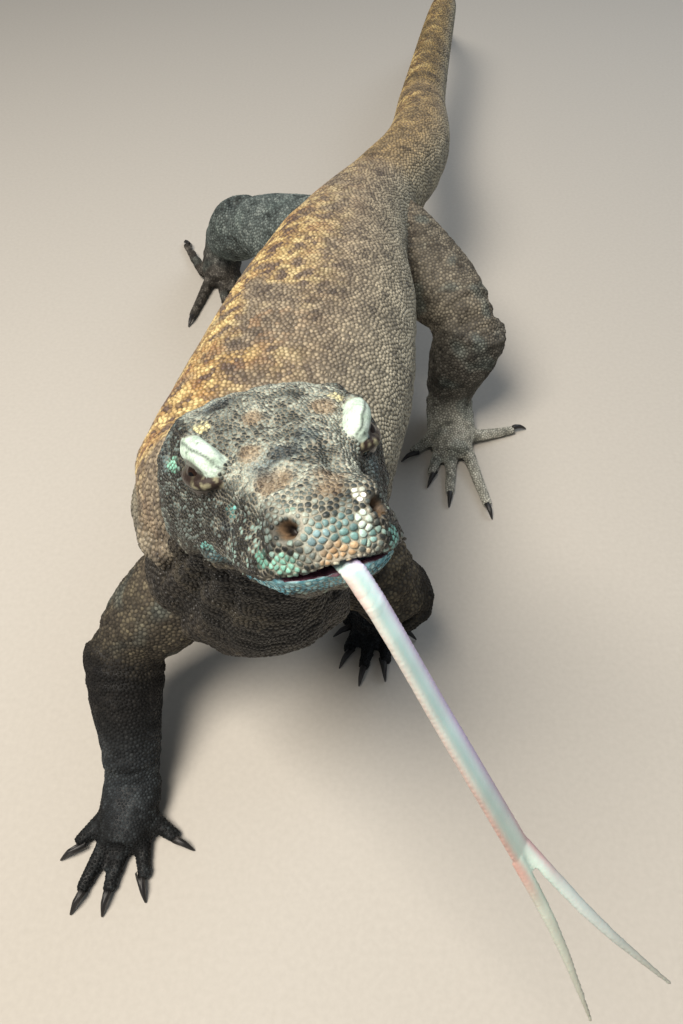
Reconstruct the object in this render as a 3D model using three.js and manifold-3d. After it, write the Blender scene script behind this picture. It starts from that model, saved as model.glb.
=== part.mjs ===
// A life-size komodo dragon, standing with its head raised and its tongue out.
// Millimetres, +Z up. The animal faces -Y, and its left side is +X.
// Every piece is set out on the floor plane z = 0, and the finished group is moved
// sideways so that its origin is the middle of the underside of its box.
import * as THREE from "three";
import { mergeVertices } from "three/addons/utils/BufferGeometryUtils.js";
import Module from "manifold-3d";

const wasm = await Module();
wasm.setup();

// ---- Driving dimensions -------------------------------------------------------------

const GAP = 0.3; // clearance between touching pieces

// Head: its frame has its origin midway between the eyes, x to the animal's right,
// y forward along the skull and z up through the crown.
const EYES_MIDPOINT = [-29, 273, 581.5];
const HEAD_YAW = 18.7; // degrees, turned to the animal's left
const HEAD_PITCH = 33.1; // degrees, raised above level
const HEAD_BACK = -92; // y of the back of the skull
const SNOUT_TIP = 92; // y of the front of the upper lip
const EYE_RADIUS = 10.5;
const EYE_OUT = 38.5; // eye centre from the middle plane
const EYE_DOWN = 4; // eye centre below the frame's origin
const MOUTH_OPEN = 6; // height of the opening at the front of the lips

// Tongue
const TONGUE_WIDTH = 11.6; // where it leaves the lips
const TONGUE_WIDEST = 16; // near the fork
const TONGUE_THICKNESS = 5;
const TONGUE_END_THICKNESS = 4; // at the fork
const TONGUE_SQUARENESS = 2.4; // its section is a flat oval, blunter than an ellipse
const TONGUE_STEPS = 14; // sections along it
const TONGUE_ARCH = [0, -4, 6]; // how its middle stands off the straight line to the fork
const TONGUE_ROOT = [-2, 62, -39]; // in the head's frame, inside the mouth
const TONGUE_AT_LIPS = [-3, 92, -33.5]; // in the head's frame
const TONGUE_FORK = [93, 119, 442];
const TINE_TIPS = { left: [173, 76, 380], right: [131, 61, 368] };
const TINE_RADII = [4.6, 3.4, 1.3]; // at the fork, halfway and at the tip
const TINE_FLATNESS = 0.6; // thickness against width
const TINE_APART = 3.8; // each tine's root from the tongue's middle
const TINE_OVERLAP = 10; // length of a tine's root buried in the tongue
const TINE_BOW = 3; // how far each tine bows inward

// Spine, from the shoulders to the tip of the tail
const NECK_MIDDLE = [-68, 404, 408];
const SHOULDERS = [-79, 500, 290];
const TRUNK_FRONT = [-44, 655, 278];
const TRUNK_MIDDLE = [-16, 830, 264];
const TRUNK_REAR = [7, 974, 250];
const HIPS = [48, 1104, 238];
const TAIL_ROOT = [116, 1256, 236];
const TAIL_FIRST_THIRD = [153, 1561, 192];
const TAIL_SECOND_THIRD = [232, 2030, 192];
const TAIL_DOWN = [262, 2240, 92];
const TAIL_LYING = [284, 2410, 13];
const TAIL_TIP = [292, 2545, 4];

// Lengths along the spine at which one node ends and the next starts, measured from
// the joint of head and neck.
const NECK_LENGTH = 190;
const TRUNK_LENGTH = 760;
const TAIL_BASE_LENGTH = 420;
const TAIL_MIDDLE_LENGTH = 480;

// Legs: joint centres, and the tips of the claws, numbered from the inner toe
const FRONT_LEGS = {
  right: {
    shoulder: [-132, 466, 218],
    elbow: [-228, 424, 130],
    wrist: [-219, 328, 46],
    palm: [-221, 286, 14],
    claws: [[-150, 255], [-194, 204], [-236, 191], [-268, 193], [-290, 245]],
  },
  left: {
    shoulder: [-22, 522, 218],
    elbow: [60, 474, 142],
    wrist: [52, 576, 48],
    palm: [44, 536, 14],
    claws: [[-12, 508], [-4, 464], [20, 440], [52, 446], [94, 504]],
  },
};
const HIND_LEGS = {
  right: {
    hip: [-16, 1056, 208],
    knee: [-158, 1192, 152],
    ankle: [-214, 1311, 52],
    palm: [-222, 1262, 16],
    claws: [[-160, 1226], [-174, 1184], [-199, 1157], [-264, 1120], [-305, 1386]],
  },
  left: {
    hip: [74, 1064, 212],
    knee: [184, 908, 166],
    ankle: [160, 900, 50],
    palm: [166, 846, 16],
    claws: [[86, 804], [122, 752], [150, 715], [209, 694], [283, 874]],
  },
};
const FRONT_RADII = { upper: [54, 52, 46, 28], lower: [40, 42, 35, 30] };
const HIND_RADII = { upper: [60, 60, 54, 34], lower: [48, 52, 44, 35] };
const FRONT_PALM_WIDTH = 66;
const HIND_PALM_WIDTH = 74;
const SOLE_FLATNESS = 0.72; // height of a palm against its width
const HEEL_DROP = 8; // the heel's middle below the ankle's
const ELBOW_POINT = { out: 6, down: 10 }; // the end of the upper bone past the joint
const TOE_RADIUS = 10; // at the knuckle
const TOE_ROOT_HEIGHT = 15;
const TOE_FLATNESS = 0.95;
const TOE_SPACING = 0.18; // between the roots of two toes, against the palm's width
const CLAW_LENGTH = 27;
const CLAW_RADIUS = 4.8; // at its root
const CLAW_HEIGHTS = { root: 7.5, crest: 10, tip: 1.8 }; // of its middle line over the floor
const CLAW_TIP_RADIUS = 1;

// ---- Colours and finishes -----------------------------------------------------------

const hide = { roughness: 0.75, metalness: 0 };
const FINISH = {
  head: new THREE.MeshStandardMaterial({ color: 0x4a4740, ...hide }),
  body: new THREE.MeshStandardMaterial({ color: 0x80735c, ...hide }),
  leg: new THREE.MeshStandardMaterial({ color: 0x4f4f4c, ...hide }),
  claw: new THREE.MeshStandardMaterial({ color: 0x16161a, roughness: 0.4, metalness: 0 }),
  eye: new THREE.MeshStandardMaterial({ color: 0x0e0c0a, roughness: 0.05, metalness: 0 }),
  tongue: new THREE.MeshStandardMaterial({ color: 0xe3cdd4, roughness: 0.3, metalness: 0 }),
};

// ---- Solids -------------------------------------------------------------------------

const vector = (p) => new THREE.Vector3(...p);

// A smooth curve of value against position through a few [position, value] pairs.
function profile(pairs) {
  const slopes = pairs.map((pair, i) => {
    const before = pairs[Math.max(i - 1, 0)];
    const after = pairs[Math.min(i + 1, pairs.length - 1)];
    return (after[1] - before[1]) / (after[0] - before[0]);
  });
  return (x) => {
    const last = pairs.length - 1;
    if (x <= pairs[0][0]) return pairs[0][1];
    if (x >= pairs[last][0]) return pairs[last][1];
    const i = pairs.findIndex((pair) => pair[0] > x) - 1;
    const span = pairs[i + 1][0] - pairs[i][0];
    const u = (x - pairs[i][0]) / span;
    return (
      pairs[i][1] * (1 + 2 * u) * (1 - u) ** 2 +
      slopes[i] * span * u * (1 - u) ** 2 +
      pairs[i + 1][1] * u ** 2 * (3 - 2 * u) +
      slopes[i + 1] * span * u ** 2 * (u - 1)
    );
  };
}

// A closed tube skin whose points are placed by place(along, cosine, sine), where
// along runs from 0 to 1 and the middle of each end cap has cosine = sine = 0.
function closedTube(sides, steps, place) {
  const tube = new THREE.CylinderGeometry(1, 1, 1, sides, steps);
  tube.deleteAttribute("normal");
  tube.deleteAttribute("uv");
  const shape = mergeVertices(tube, 1e-4);
  const position = shape.getAttribute("position");
  for (let i = 0; i < position.count; i += 1) {
    const point = place(position.getY(i) + 0.5, position.getZ(i), position.getX(i));
    position.setXYZ(i, point.x, point.y, point.z);
  }
  return shape;
}

function toSolid(geometry) {
  const shape = geometry.clone();
  shape.deleteAttribute("normal");
  shape.deleteAttribute("uv");
  const merged = mergeVertices(shape, 1e-4);
  const mesh = new wasm.Mesh({
    numProp: 3,
    vertProperties: new Float32Array(merged.getAttribute("position").array),
    triVerts: new Uint32Array(merged.index.array),
  });
  return new wasm.Manifold(mesh);
}

function toGeometry(solid) {
  const mesh = solid.getMesh();
  const geometry = new THREE.BufferGeometry();
  geometry.setAttribute("position", new THREE.BufferAttribute(mesh.vertProperties, 3));
  geometry.setIndex(new THREE.BufferAttribute(mesh.triVerts, 1));
  return geometry;
}

// -1 at the start cap of a tube, 1 at its end cap and 0 between them.
const endSign = (along) => (along < 1e-6 ? -1 : along > 1 - 1e-6 ? 1 : 0);

// A solid along a curve. section(distance) gives the half width, the half heights
// above and below the curve, and how square the outline is (2 is an ellipse).
function loft({ path, from = 0, to = path.getLength(), section, sides, steps, up, swell = 0 }) {
  const whole = path.getLength();
  const frameAt = (distance) => {
    const held = THREE.MathUtils.clamp(distance, 0, whole);
    const tangent = path.getTangentAt(held / whole);
    const centre = path.getPointAt(held / whole).addScaledVector(tangent, distance - held);
    const side = new THREE.Vector3().crossVectors(up ?? vector([0, 0, 1]), tangent).normalize();
    return { centre, side, rise: new THREE.Vector3().crossVectors(tangent, side) };
  };
  return toSolid(
    closedTube(sides, steps, (along, cosine, sine) => {
      const distance = from + (to - from) * along;
      const { centre, side, rise } = frameAt(distance + swell * endSign(along));
      const { width, above, below, square = 2 } = section(distance);
      const x = Math.sign(cosine) * Math.abs(cosine) ** (2 / square) * (width + swell);
      const height = (sine > 0 ? above : below) + swell;
      const y = Math.sign(sine) * Math.abs(sine) ** (2 / square) * height;
      return centre.addScaledVector(side, x).addScaledVector(rise, y);
    }),
  );
}

// A round limb through a few points, with one radius at each of them.
function limb({ points, radii, sides = 14, steps = 8, flat = 1, up, swell = 0 }) {
  const path = new THREE.CatmullRomCurve3(points.map(vector), false, "centripetal");
  const whole = path.getLength();
  const radius = profile(radii.map((r, i) => [(whole * i) / (radii.length - 1), r]));
  const section = (distance) => ({
    width: radius(distance),
    above: radius(distance) * flat,
    below: radius(distance) * flat,
  });
  return loft({ path, section, sides, steps, up, swell });
}

const cut = (solid, ...others) => others.reduce((left, other) => left.subtract(other), solid);
const join = (...solids) => solids.reduce((sum, solid) => sum.add(solid));

// Everything below the floor, which leaves each sole and the lying tail a flat.
const FLOOR_SIZE = [4000, 6000, 200];
const FLOOR = toSolid(new THREE.BoxGeometry(...FLOOR_SIZE).translate(0, 0, -FLOOR_SIZE[2] / 2));

// The largest body of a solid, without the slivers that a cut can leave.
function largest(solid) {
  return solid.decompose().sort((a, b) => b.volume() - a.volume())[0];
}

// ---- Head, jaw and eyes -------------------------------------------------------------

const headTurn = new THREE.Matrix4()
  .makeRotationZ(THREE.MathUtils.degToRad(180 + HEAD_YAW))
  .multiply(new THREE.Matrix4().makeRotationX(THREE.MathUtils.degToRad(HEAD_PITCH)));
const headPlace = new THREE.Matrix4().makeTranslation(...EYES_MIDPOINT).multiply(headTurn);
const fromHead = (p) => vector(p).applyMatrix4(headPlace);
const headTo = (geometry) => toSolid(geometry.clone().applyMatrix4(headPlace));

// Outline of the head from the side and from above, as [y, height or half width].
const crownHeight = profile([
  [-92, 10], [-70, 19], [-45, 23], [-20, 20], [0, 15], [25, 8],
  [50, 1], [68, -2], [80, -8], [88, -17], [92, -28],
]);
const jawDepth = profile([
  [-92, -78], [-60, -76], [-25, -72], [10, -65], [45, -58],
  [65, -53], [80, -46], [88, -39], [92, -34],
]);
const headHalfWidth = profile([
  [-92, 52], [-70, 60], [-45, 62.5], [-20, 56], [0, 48], [20, 41.5], [45, 38], [60, 35],
  [72, 31.5], [81, 26.5], [87, 20], [90.5, 12], [92, 6],
]);
const widestHeight = profile([[-92, -30], [-45, -30], [0, -32], [50, -35], [92, -32]]);
// How much narrower the top of the snout is than its lips.
const snoutTaper = profile([[-60, 0.04], [-20, 0.05], [10, 0.16], [45, 0.24], [92, 0.2]]);
const CROWN_SQUARENESS = 2.7;
const JAW_SQUARENESS = 2.3;

// Rounded swellings and hollows of the head: centre, reach and height, on each side.
const HEAD_FORMS = [
  { name: "brow", at: [44, 4, 12], reach: 13, height: 4.5 },
  { name: "brow rear", at: [46, -14, 10], reach: 12, height: 2.5 },
  { name: "nostril swelling", at: [20, 74, -8], reach: 11, height: 3.5 },
  { name: "hollow before the eye", at: [40, 22, -6], reach: 12, height: -3 },
  { name: "temple", at: [56, -46, 0], reach: 17, height: 3 },
  { name: "jaw muscle", at: [58, -55, -45], reach: 18, height: 4 },
  { name: "hollow of the crown", at: [0, -2, 18], reach: 15, height: -2.5 },
];

function headShape(swell) {
  return closedTube(26, 17, (along, cosine, sine) => {
    const y = HEAD_BACK + (SNOUT_TIP - HEAD_BACK) * Math.sin((along * Math.PI) / 2) ** 0.9;
    const middle = widestHeight(y);
    const reachUp = crownHeight(y) - middle + swell;
    const reachDown = middle - jawDepth(y) + swell;
    const power = 2 / (sine > 0 ? CROWN_SQUARENESS : JAW_SQUARENESS);
    const rise = Math.sign(sine) * Math.abs(sine) ** power * (sine > 0 ? reachUp : reachDown);
    const narrowed = 1 - snoutTaper(y) * Math.max(rise / reachUp, 0);
    const half = headHalfWidth(y) * narrowed + swell;
    const x = -Math.sign(cosine) * Math.abs(cosine) ** power * half;
    const point = vector([x, y + swell * endSign(along), middle + rise]);
    const outward = vector([x, 0, rise]).normalize();
    for (const { at, reach, height } of HEAD_FORMS) {
      for (const side of [1, -1]) {
        const away = point.distanceTo(vector([at[0] * side, at[1], at[2]]));
        point.addScaledVector(outward, height * Math.exp(-((away / reach) ** 2)));
      }
    }
    return point;
  });
}

// The lips meet on a surface that falls gently towards the corner of the mouth and
// then steeply behind it, where the jaw ends.
const lipHeight = profile([
  [-120, -150], [-76, -80], [-60, -50], [-46, -43.5], [-10, -43],
  [30, -40.5], [60, -37.5], [80, -34], [92, -31],
]);
// How far the mouth is open along its length, against its opening at the front.
const openness = profile([[20, 0], [45, 0.17], [70, 0.58], [88, 1]]);
const LIP_BLOCK = { width: 260, height: 200, steps: 26 };

// All of the head above (sign +1) or below (sign -1) the lips.
function beyondLips(sign) {
  const { width, height, steps } = LIP_BLOCK;
  const block = new THREE.BoxGeometry(width, width, height, 1, steps, 1);
  block.translate(0, 0, (sign * height) / 2);
  const position = block.getAttribute("position");
  for (let i = 0; i < position.count; i += 1) {
    const y = position.getY(i);
    const lip = lipHeight(y) + (sign > 0 ? GAP / 2 : -GAP / 2 - MOUTH_OPEN * openness(y));
    if (Math.abs(position.getZ(i)) < 1) position.setZ(i, lip);
  }
  return headTo(block);
}

function eyeball(side, swell) {
  const ball = new THREE.SphereGeometry(EYE_RADIUS + swell, 12, 8);
  return headTo(ball.rotateX(Math.PI / 2).translate(side * EYE_OUT, 0, -EYE_DOWN));
}

// ---- Tongue -------------------------------------------------------------------------

function tongueSolid(swell) {
  const root = fromHead(TONGUE_ROOT);
  const lip = fromHead(TONGUE_AT_LIPS);
  const fork = vector(TONGUE_FORK);
  const middle = lip.clone().lerp(fork, 0.5).add(vector(TONGUE_ARCH));
  const path = new THREE.CatmullRomCurve3([root, lip, middle, fork], false, "centripetal");
  const whole = path.getLength();
  const width = profile([
    [0, TONGUE_WIDTH / 2],
    [whole * 0.3, TONGUE_WIDTH / 2],
    [whole, TONGUE_WIDEST / 2],
  ]);
  const thick = profile([
    [0, TONGUE_THICKNESS / 2],
    [whole * 0.7, TONGUE_THICKNESS / 2],
    [whole, TONGUE_END_THICKNESS / 2],
  ]);
  const section = (distance) => ({
    width: width(distance),
    above: thick(distance),
    below: thick(distance),
    square: TONGUE_SQUARENESS,
  });
  const stem = loft({ path, section, sides: 8, steps: TONGUE_STEPS, swell });
  const along = path.getTangentAt(1);
  const sideways = new THREE.Vector3().crossVectors(along, vector([0, 0, 1])).normalize();
  const tines = Object.entries(TINE_TIPS).map(([name, tip]) => {
    const sign = name === "left" ? -1 : 1;
    const start = fork.clone().addScaledVector(along, -TINE_OVERLAP);
    start.addScaledVector(sideways, sign * TINE_APART);
    const bend = start.clone().lerp(vector(tip), 0.5).addScaledVector(sideways, -sign * TINE_BOW);
    return limb({
      points: [start.toArray(), bend.toArray(), tip],
      radii: TINE_RADII,
      sides: 6,
      steps: 5,
      flat: TINE_FLATNESS,
      swell,
    });
  });
  return join(stem, ...tines);
}

// ---- Neck, trunk and tail -----------------------------------------------------------

const spine = new THREE.CatmullRomCurve3(
  [
    fromHead([0, -50, -30]),
    fromHead([0, -96, -34]),
    ...[NECK_MIDDLE, SHOULDERS, TRUNK_FRONT, TRUNK_MIDDLE, TRUNK_REAR, HIPS].map(vector),
    ...[TAIL_ROOT, TAIL_FIRST_THIRD, TAIL_SECOND_THIRD].map(vector),
    ...[TAIL_DOWN, TAIL_LYING, TAIL_TIP].map(vector),
  ],
  false,
  "centripetal",
);
const spineLength = spine.getLength();

// Half widths and half heights along the spine, from the joint of head and neck.
const NECK_START = 0;
const TRUNK_START = NECK_LENGTH;
const TAIL_START = TRUNK_START + TRUNK_LENGTH;
const TAIL_MIDDLE_START = TAIL_START + TAIL_BASE_LENGTH;
const TAIL_TIP_START = TAIL_MIDDLE_START + TAIL_MIDDLE_LENGTH;

const TAIL_END = spineLength - 40;
const halfWidth = profile([
  [0, 46], [60, 54], [130, 60], [200, 76], [260, 104], [320, 120], [380, 123],
  [480, 122], [560, 118], [660, 108], [800, 84], [935, 62], [1020, 58], [1120, 54],
  [1370, 45], [1880, 28], [2150, 16], [TAIL_END, 6], [spineLength, 2.5],
]);
const halfAbove = profile([
  [0, 40], [60, 48], [130, 58], [200, 70], [280, 80], [420, 88], [600, 90], [760, 82],
  [890, 70], [980, 64], [1080, 60], [1400, 50], [1880, 30], [2150, 17], [TAIL_END, 7], [spineLength, 3],
]);
const halfBelow = profile([
  [0, 44], [60, 72], [130, 112], [200, 138], [280, 134], [400, 116], [600, 108], [760, 94],
  [890, 80], [980, 70], [1080, 62], [1400, 52], [1880, 30], [2150, 17], [TAIL_END, 7], [spineLength, 3],
]);
const squareness = profile([[100, 2.1], [300, 2.5], [500, 2.2], [spineLength, 2.1]]);
const bodySection = (distance) => ({
  width: halfWidth(distance),
  above: halfAbove(distance),
  below: halfBelow(distance),
  square: squareness(distance),
});

// Pieces of the spine: where each starts and ends, its sides and its steps.
const SPINE_PIECES = {
  neck: [NECK_START, TRUNK_START, 18, 7],
  trunk: [TRUNK_START, TAIL_START, 20, 13],
  tail_base: [TAIL_START, TAIL_MIDDLE_START, 14, 7],
  tail_middle: [TAIL_MIDDLE_START, TAIL_TIP_START, 12, 7],
  tail_tip: [TAIL_TIP_START, spineLength, 12, 12],
};

function spinePiece(name, swell = 0) {
  const [from, to, sides, steps] = SPINE_PIECES[name];
  return loft({
    path: spine,
    from: from + GAP / 2,
    to: to - GAP / 2,
    section: bodySection,
    sides,
    steps,
    swell,
  });
}

// ---- Legs ---------------------------------------------------------------------------

const lerp = (a, b, u) => a.map((value, i) => value + (b[i] - value) * u);

// Middle line of a claw: its root, its crest and its tip.
function clawPath(tip, palm) {
  const inward = vector([palm[0] - tip[0], palm[1] - tip[1], 0]).normalize();
  const at = (distance, height) => [
    tip[0] + inward.x * distance,
    tip[1] + inward.y * distance,
    height,
  ];
  return [
    at(CLAW_LENGTH, CLAW_HEIGHTS.root),
    at(CLAW_LENGTH / 2, CLAW_HEIGHTS.crest),
    at(2 * CLAW_TIP_RADIUS, CLAW_HEIGHTS.tip),
  ];
}

function claw(tip, palm) {
  const radii = [CLAW_RADIUS, CLAW_RADIUS * 0.72, CLAW_TIP_RADIUS];
  return limb({ points: clawPath(tip, palm), radii, sides: 6, steps: 2 });
}

// A toe runs from the palm to the root of its claw, arched over its knuckle.
function toe(tip, palm, root, swell) {
  const [clawRoot, crest] = clawPath(tip, palm);
  const end = lerp(clawRoot, crest, 0.35);
  const knuckle = lerp(root, end, 0.5);
  return limb({
    points: [
      root,
      [knuckle[0], knuckle[1], TOE_RADIUS * 0.9],
      [end[0], end[1], TOE_RADIUS * 0.68],
    ],
    radii: [TOE_RADIUS * 1.15, TOE_RADIUS, TOE_RADIUS * 0.74],
    sides: 6,
    steps: 3,
    flat: TOE_FLATNESS,
    swell,
  });
}

// The palm from the ankle forward, with five toes side by side across it.
function foot({ ankle, palm, claws, ankleRadius, palmWidth }, swell) {
  const heel = [ankle[0], ankle[1], ankle[2] - HEEL_DROP];
  const middleToe = [...claws[2], palm[2]];
  const sole = limb({
    points: [lerp(ankle, heel, 0.2), lerp(heel, palm, 0.45), lerp(palm, middleToe, 0.3)],
    radii: [ankleRadius, palmWidth * 0.5, palmWidth * 0.34],
    sides: 10,
    steps: 4,
    flat: SOLE_FLATNESS,
    swell,
  });
  const across = vector([middleToe[1] - ankle[1], ankle[0] - middleToe[0], 0]).normalize();
  const outward = vector([claws[4][0] - claws[0][0], claws[4][1] - claws[0][1], 0]);
  if (outward.dot(across) < 0) across.negate();
  const toes = claws.map((tip, i) => {
    const root = vector(palm).addScaledVector(across, (i - 2) * TOE_SPACING * palmWidth);
    return toe(tip, [root.x, root.y], [root.x, root.y, TOE_ROOT_HEIGHT], swell);
  });
  return join(sole, ...toes);
}

// The bones of one leg as solids, upper, lower and foot, each cut by the one above it.
function leg({ joints, radii, palmWidth, claws, palm, body }) {
  const [top, bend, end] = joints;
  const out = vector([bend[0] - top[0], bend[1] - top[1], 0]).setLength(ELBOW_POINT.out);
  const point = [bend[0] + out.x, bend[1] + out.y, bend[2] - ELBOW_POINT.down];
  const upperPoints = [top, lerp(top, bend, 0.5), bend, point];
  const upperOf = (swell) => limb({ points: upperPoints, radii: radii.upper, sides: 12, steps: 5, swell });
  const lowerPoints = [lerp(bend, end, -0.06), lerp(bend, end, 0.4), lerp(bend, end, 0.75), end];
  const lowerOf = (swell) => limb({ points: lowerPoints, radii: radii.lower, sides: 12, steps: 4, swell });
  const shape = { ankle: end, palm, claws, ankleRadius: radii.lower[3], palmWidth };
  const footOf = (swell) => foot(shape, swell);
  const grown = { upper: upperOf(2 * GAP), lower: lowerOf(2 * GAP), foot: footOf(2 * GAP) };
  return {
    upper: largest(cut(upperOf(0), ...body)),
    lower: largest(cut(lowerOf(0), grown.upper, ...body)),
    foot: largest(cut(footOf(0), grown.lower, grown.upper, FLOOR)),
    claws: claws.map((tip) => largest(cut(claw(tip, palm), grown.foot, FLOOR))),
  };
}

// ---- The animal ---------------------------------------------------------------------

const dragon = new THREE.Group();

function add(name, solid, material) {
  const mesh = new THREE.Mesh(toGeometry(solid), material);
  mesh.name = name;
  dragon.add(mesh);
}

const wholeHead = headTo(headShape(0));
const grownHead = headTo(headShape(2 * GAP));
const grownTongue = tongueSolid(2 * GAP);
const sockets = [1, -1].map((side) => eyeball(side, GAP));
add("head", largest(cut(wholeHead.intersect(beyondLips(1)), grownTongue, ...sockets)), FINISH.head);
add("lower_jaw", largest(cut(wholeHead.intersect(beyondLips(-1)), grownTongue)), FINISH.head);
add("eye_left", eyeball(-1, 0), FINISH.eye);
add("eye_right", eyeball(1, 0), FINISH.eye);
add("tongue", tongueSolid(0), FINISH.tongue);

add("neck", largest(cut(spinePiece("neck"), grownHead)), FINISH.body);
for (const name of ["trunk", "tail_base", "tail_middle"]) add(name, spinePiece(name), FINISH.body);
add("tail_tip", cut(spinePiece("tail_tip"), FLOOR), FINISH.body);

const bodyForLegs = ["neck", "trunk", "tail_base"].map((name) => spinePiece(name, 2 * GAP));

for (const [side, { shoulder, elbow, wrist, palm, claws }] of Object.entries(FRONT_LEGS)) {
  const pieces = leg({
    joints: [shoulder, elbow, wrist],
    radii: FRONT_RADII,
    palmWidth: FRONT_PALM_WIDTH,
    palm,
    claws,
    body: bodyForLegs,
  });
  add("upper_arm_" + side, pieces.upper, FINISH.leg);
  add("forearm_" + side, pieces.lower, FINISH.leg);
  add("front_foot_" + side, pieces.foot, FINISH.leg);
  pieces.claws.forEach((solid, i) => add(`front_${side}_claw_${i + 1}`, solid, FINISH.claw));
}

for (const [side, { hip, knee, ankle, palm, claws }] of Object.entries(HIND_LEGS)) {
  const pieces = leg({
    joints: [hip, knee, ankle],
    radii: HIND_RADII,
    palmWidth: HIND_PALM_WIDTH,
    palm,
    claws,
    body: bodyForLegs,
  });
  add("thigh_" + side, pieces.upper, FINISH.leg);
  add("shin_" + side, pieces.lower, FINISH.leg);
  add("hind_foot_" + side, pieces.foot, FINISH.leg);
  pieces.claws.forEach((solid, i) => add(`hind_${side}_claw_${i + 1}`, solid, FINISH.claw));
}

const box = new THREE.Box3().setFromObject(dragon);
const centre = box.getCenter(new THREE.Vector3());
dragon.position.set(-centre.x, -centre.y, 0);

export default dragon;
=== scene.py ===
# %% [markdown]
# # A komodo dragon, life size, as a museum would show it
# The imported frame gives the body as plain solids, one for each part a person would name. This
# script gives them the look of the animal: one skin over all the flesh, tens of thousands of
# scales standing on it, wet eyes, horn claws and a forked tongue. Everything is in metres, with
# the floor at z = 0. The animal faces -Y and its left side is +X.

import math

import bmesh
import bpy
import numpy as np
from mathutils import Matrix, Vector, noise
from mathutils.bvhtree import BVHTree
from mathutils.kdtree import KDTree


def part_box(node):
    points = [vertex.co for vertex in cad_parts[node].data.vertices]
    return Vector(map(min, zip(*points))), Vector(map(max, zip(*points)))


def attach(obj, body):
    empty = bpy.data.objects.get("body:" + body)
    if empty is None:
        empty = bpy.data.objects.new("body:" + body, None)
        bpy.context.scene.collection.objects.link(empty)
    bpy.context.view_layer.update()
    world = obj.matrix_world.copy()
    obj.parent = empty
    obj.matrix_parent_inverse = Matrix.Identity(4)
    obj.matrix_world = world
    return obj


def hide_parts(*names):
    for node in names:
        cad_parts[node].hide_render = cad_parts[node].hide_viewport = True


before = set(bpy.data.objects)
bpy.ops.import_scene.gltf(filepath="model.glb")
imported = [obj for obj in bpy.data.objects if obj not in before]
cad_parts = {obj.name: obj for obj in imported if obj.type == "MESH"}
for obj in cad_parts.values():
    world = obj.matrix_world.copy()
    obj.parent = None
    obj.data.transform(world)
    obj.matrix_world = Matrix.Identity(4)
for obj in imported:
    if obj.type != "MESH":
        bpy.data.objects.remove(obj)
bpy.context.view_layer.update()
MM = 0.001

# %% [markdown]
# ## Colours and shader nodes
# Colours are easiest to pick as the hex codes a paint program shows. Those are sRGB, bent for
# the eye, while a renderer adds up real light. One function turns one into the other.
# Every material below is a small graph of nodes, so one helper adds a node, sets it and links it.

# %% Helpers for colour and nodes
def linear(code):
    """An sRGB hex colour as linear light, red, green and blue."""
    parts = [int(code[i : i + 2], 16) / 255 for i in (1, 3, 5)]
    return [p / 12.92 if p <= 0.04045 else ((p + 0.055) / 1.055) ** 2.4 for p in parts]


def paint(code):
    """The same colour as numbers for a shader's colour socket."""
    return (*linear(code), 1)


def add(tree, kind, inputs=None, **settings):
    """Adds a shader node; an input is given either a value or another node's output."""
    made = tree.nodes.new("ShaderNode" + kind)
    for name, value in settings.items():
        setattr(made, name, value)
    for socket, value in (inputs or {}).items():
        if isinstance(value, bpy.types.NodeSocket):
            tree.links.new(value, made.inputs[socket])
        else:
            made.inputs[socket].default_value = value
    return made


def new_material(name):
    """An empty node material, with the socket that its surface goes into."""
    made = bpy.data.materials.new(name)
    made.use_nodes = True
    made.node_tree.nodes.clear()
    return made, made.node_tree, add(made.node_tree, "OutputMaterial").inputs["Surface"]

# %% [markdown]
# ## Meshes as arrays
# A body like this is shaped by moving many thousands of points by rule. Python is slow point by
# point, so the points and triangles are kept as numpy arrays, and turned into a Blender mesh
# only when Blender is to work on them or show them.

# %% Between Blender meshes and arrays
def arrays_of(mesh):
    """Points and triangles of a mesh."""
    mesh.calc_loop_triangles()
    points = np.empty(len(mesh.vertices) * 3)
    mesh.vertices.foreach_get("co", points)
    triangles = np.empty(len(mesh.loop_triangles) * 3, np.int32)
    mesh.loop_triangles.foreach_get("vertices", triangles)
    return points.reshape(-1, 3), triangles.reshape(-1, 3)


def welded(points, triangles):
    """Points that lie on each other become one, so that the surface closes."""
    _, first, place = np.unique(np.round(points, 6), axis=0, return_index=True, return_inverse=True)
    triangles = place.reshape(-1)[triangles]
    whole = (triangles != np.roll(triangles, 1, axis=1)).all(1)
    return points[first], triangles[whole]


def unit(ways):
    """The same directions, one unit long."""
    return ways / np.maximum(np.linalg.norm(ways, axis=-1, keepdims=True), 1e-12)


def normals_of(points, triangles):
    """A unit normal at each point, from the triangles round it."""
    a, b, c = (points[triangles[:, i]] for i in range(3))
    flat = np.cross(b - a, c - a)
    total = np.zeros_like(points)
    for i in range(3):
        for axis in range(3):
            total[:, axis] += np.bincount(triangles[:, i], flat[:, axis], len(points))
    return unit(total)

# %% Trees and lines
def tree_over(points):
    """A tree that quickly finds the points nearest to a place."""
    tree = KDTree(len(points))
    for i, p in enumerate(points.tolist()):
        tree.insert(p, i)
    tree.balance()
    return tree


def walked(line):
    """How far one has walked along a line at each of its points."""
    return np.concatenate([[0], np.cumsum(np.linalg.norm(np.diff(line, axis=0), axis=1))])


def links(count):
    """The edges of a line of points, as pairs of point numbers."""
    return np.stack([np.arange(count - 1), np.arange(1, count)], 1)

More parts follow.
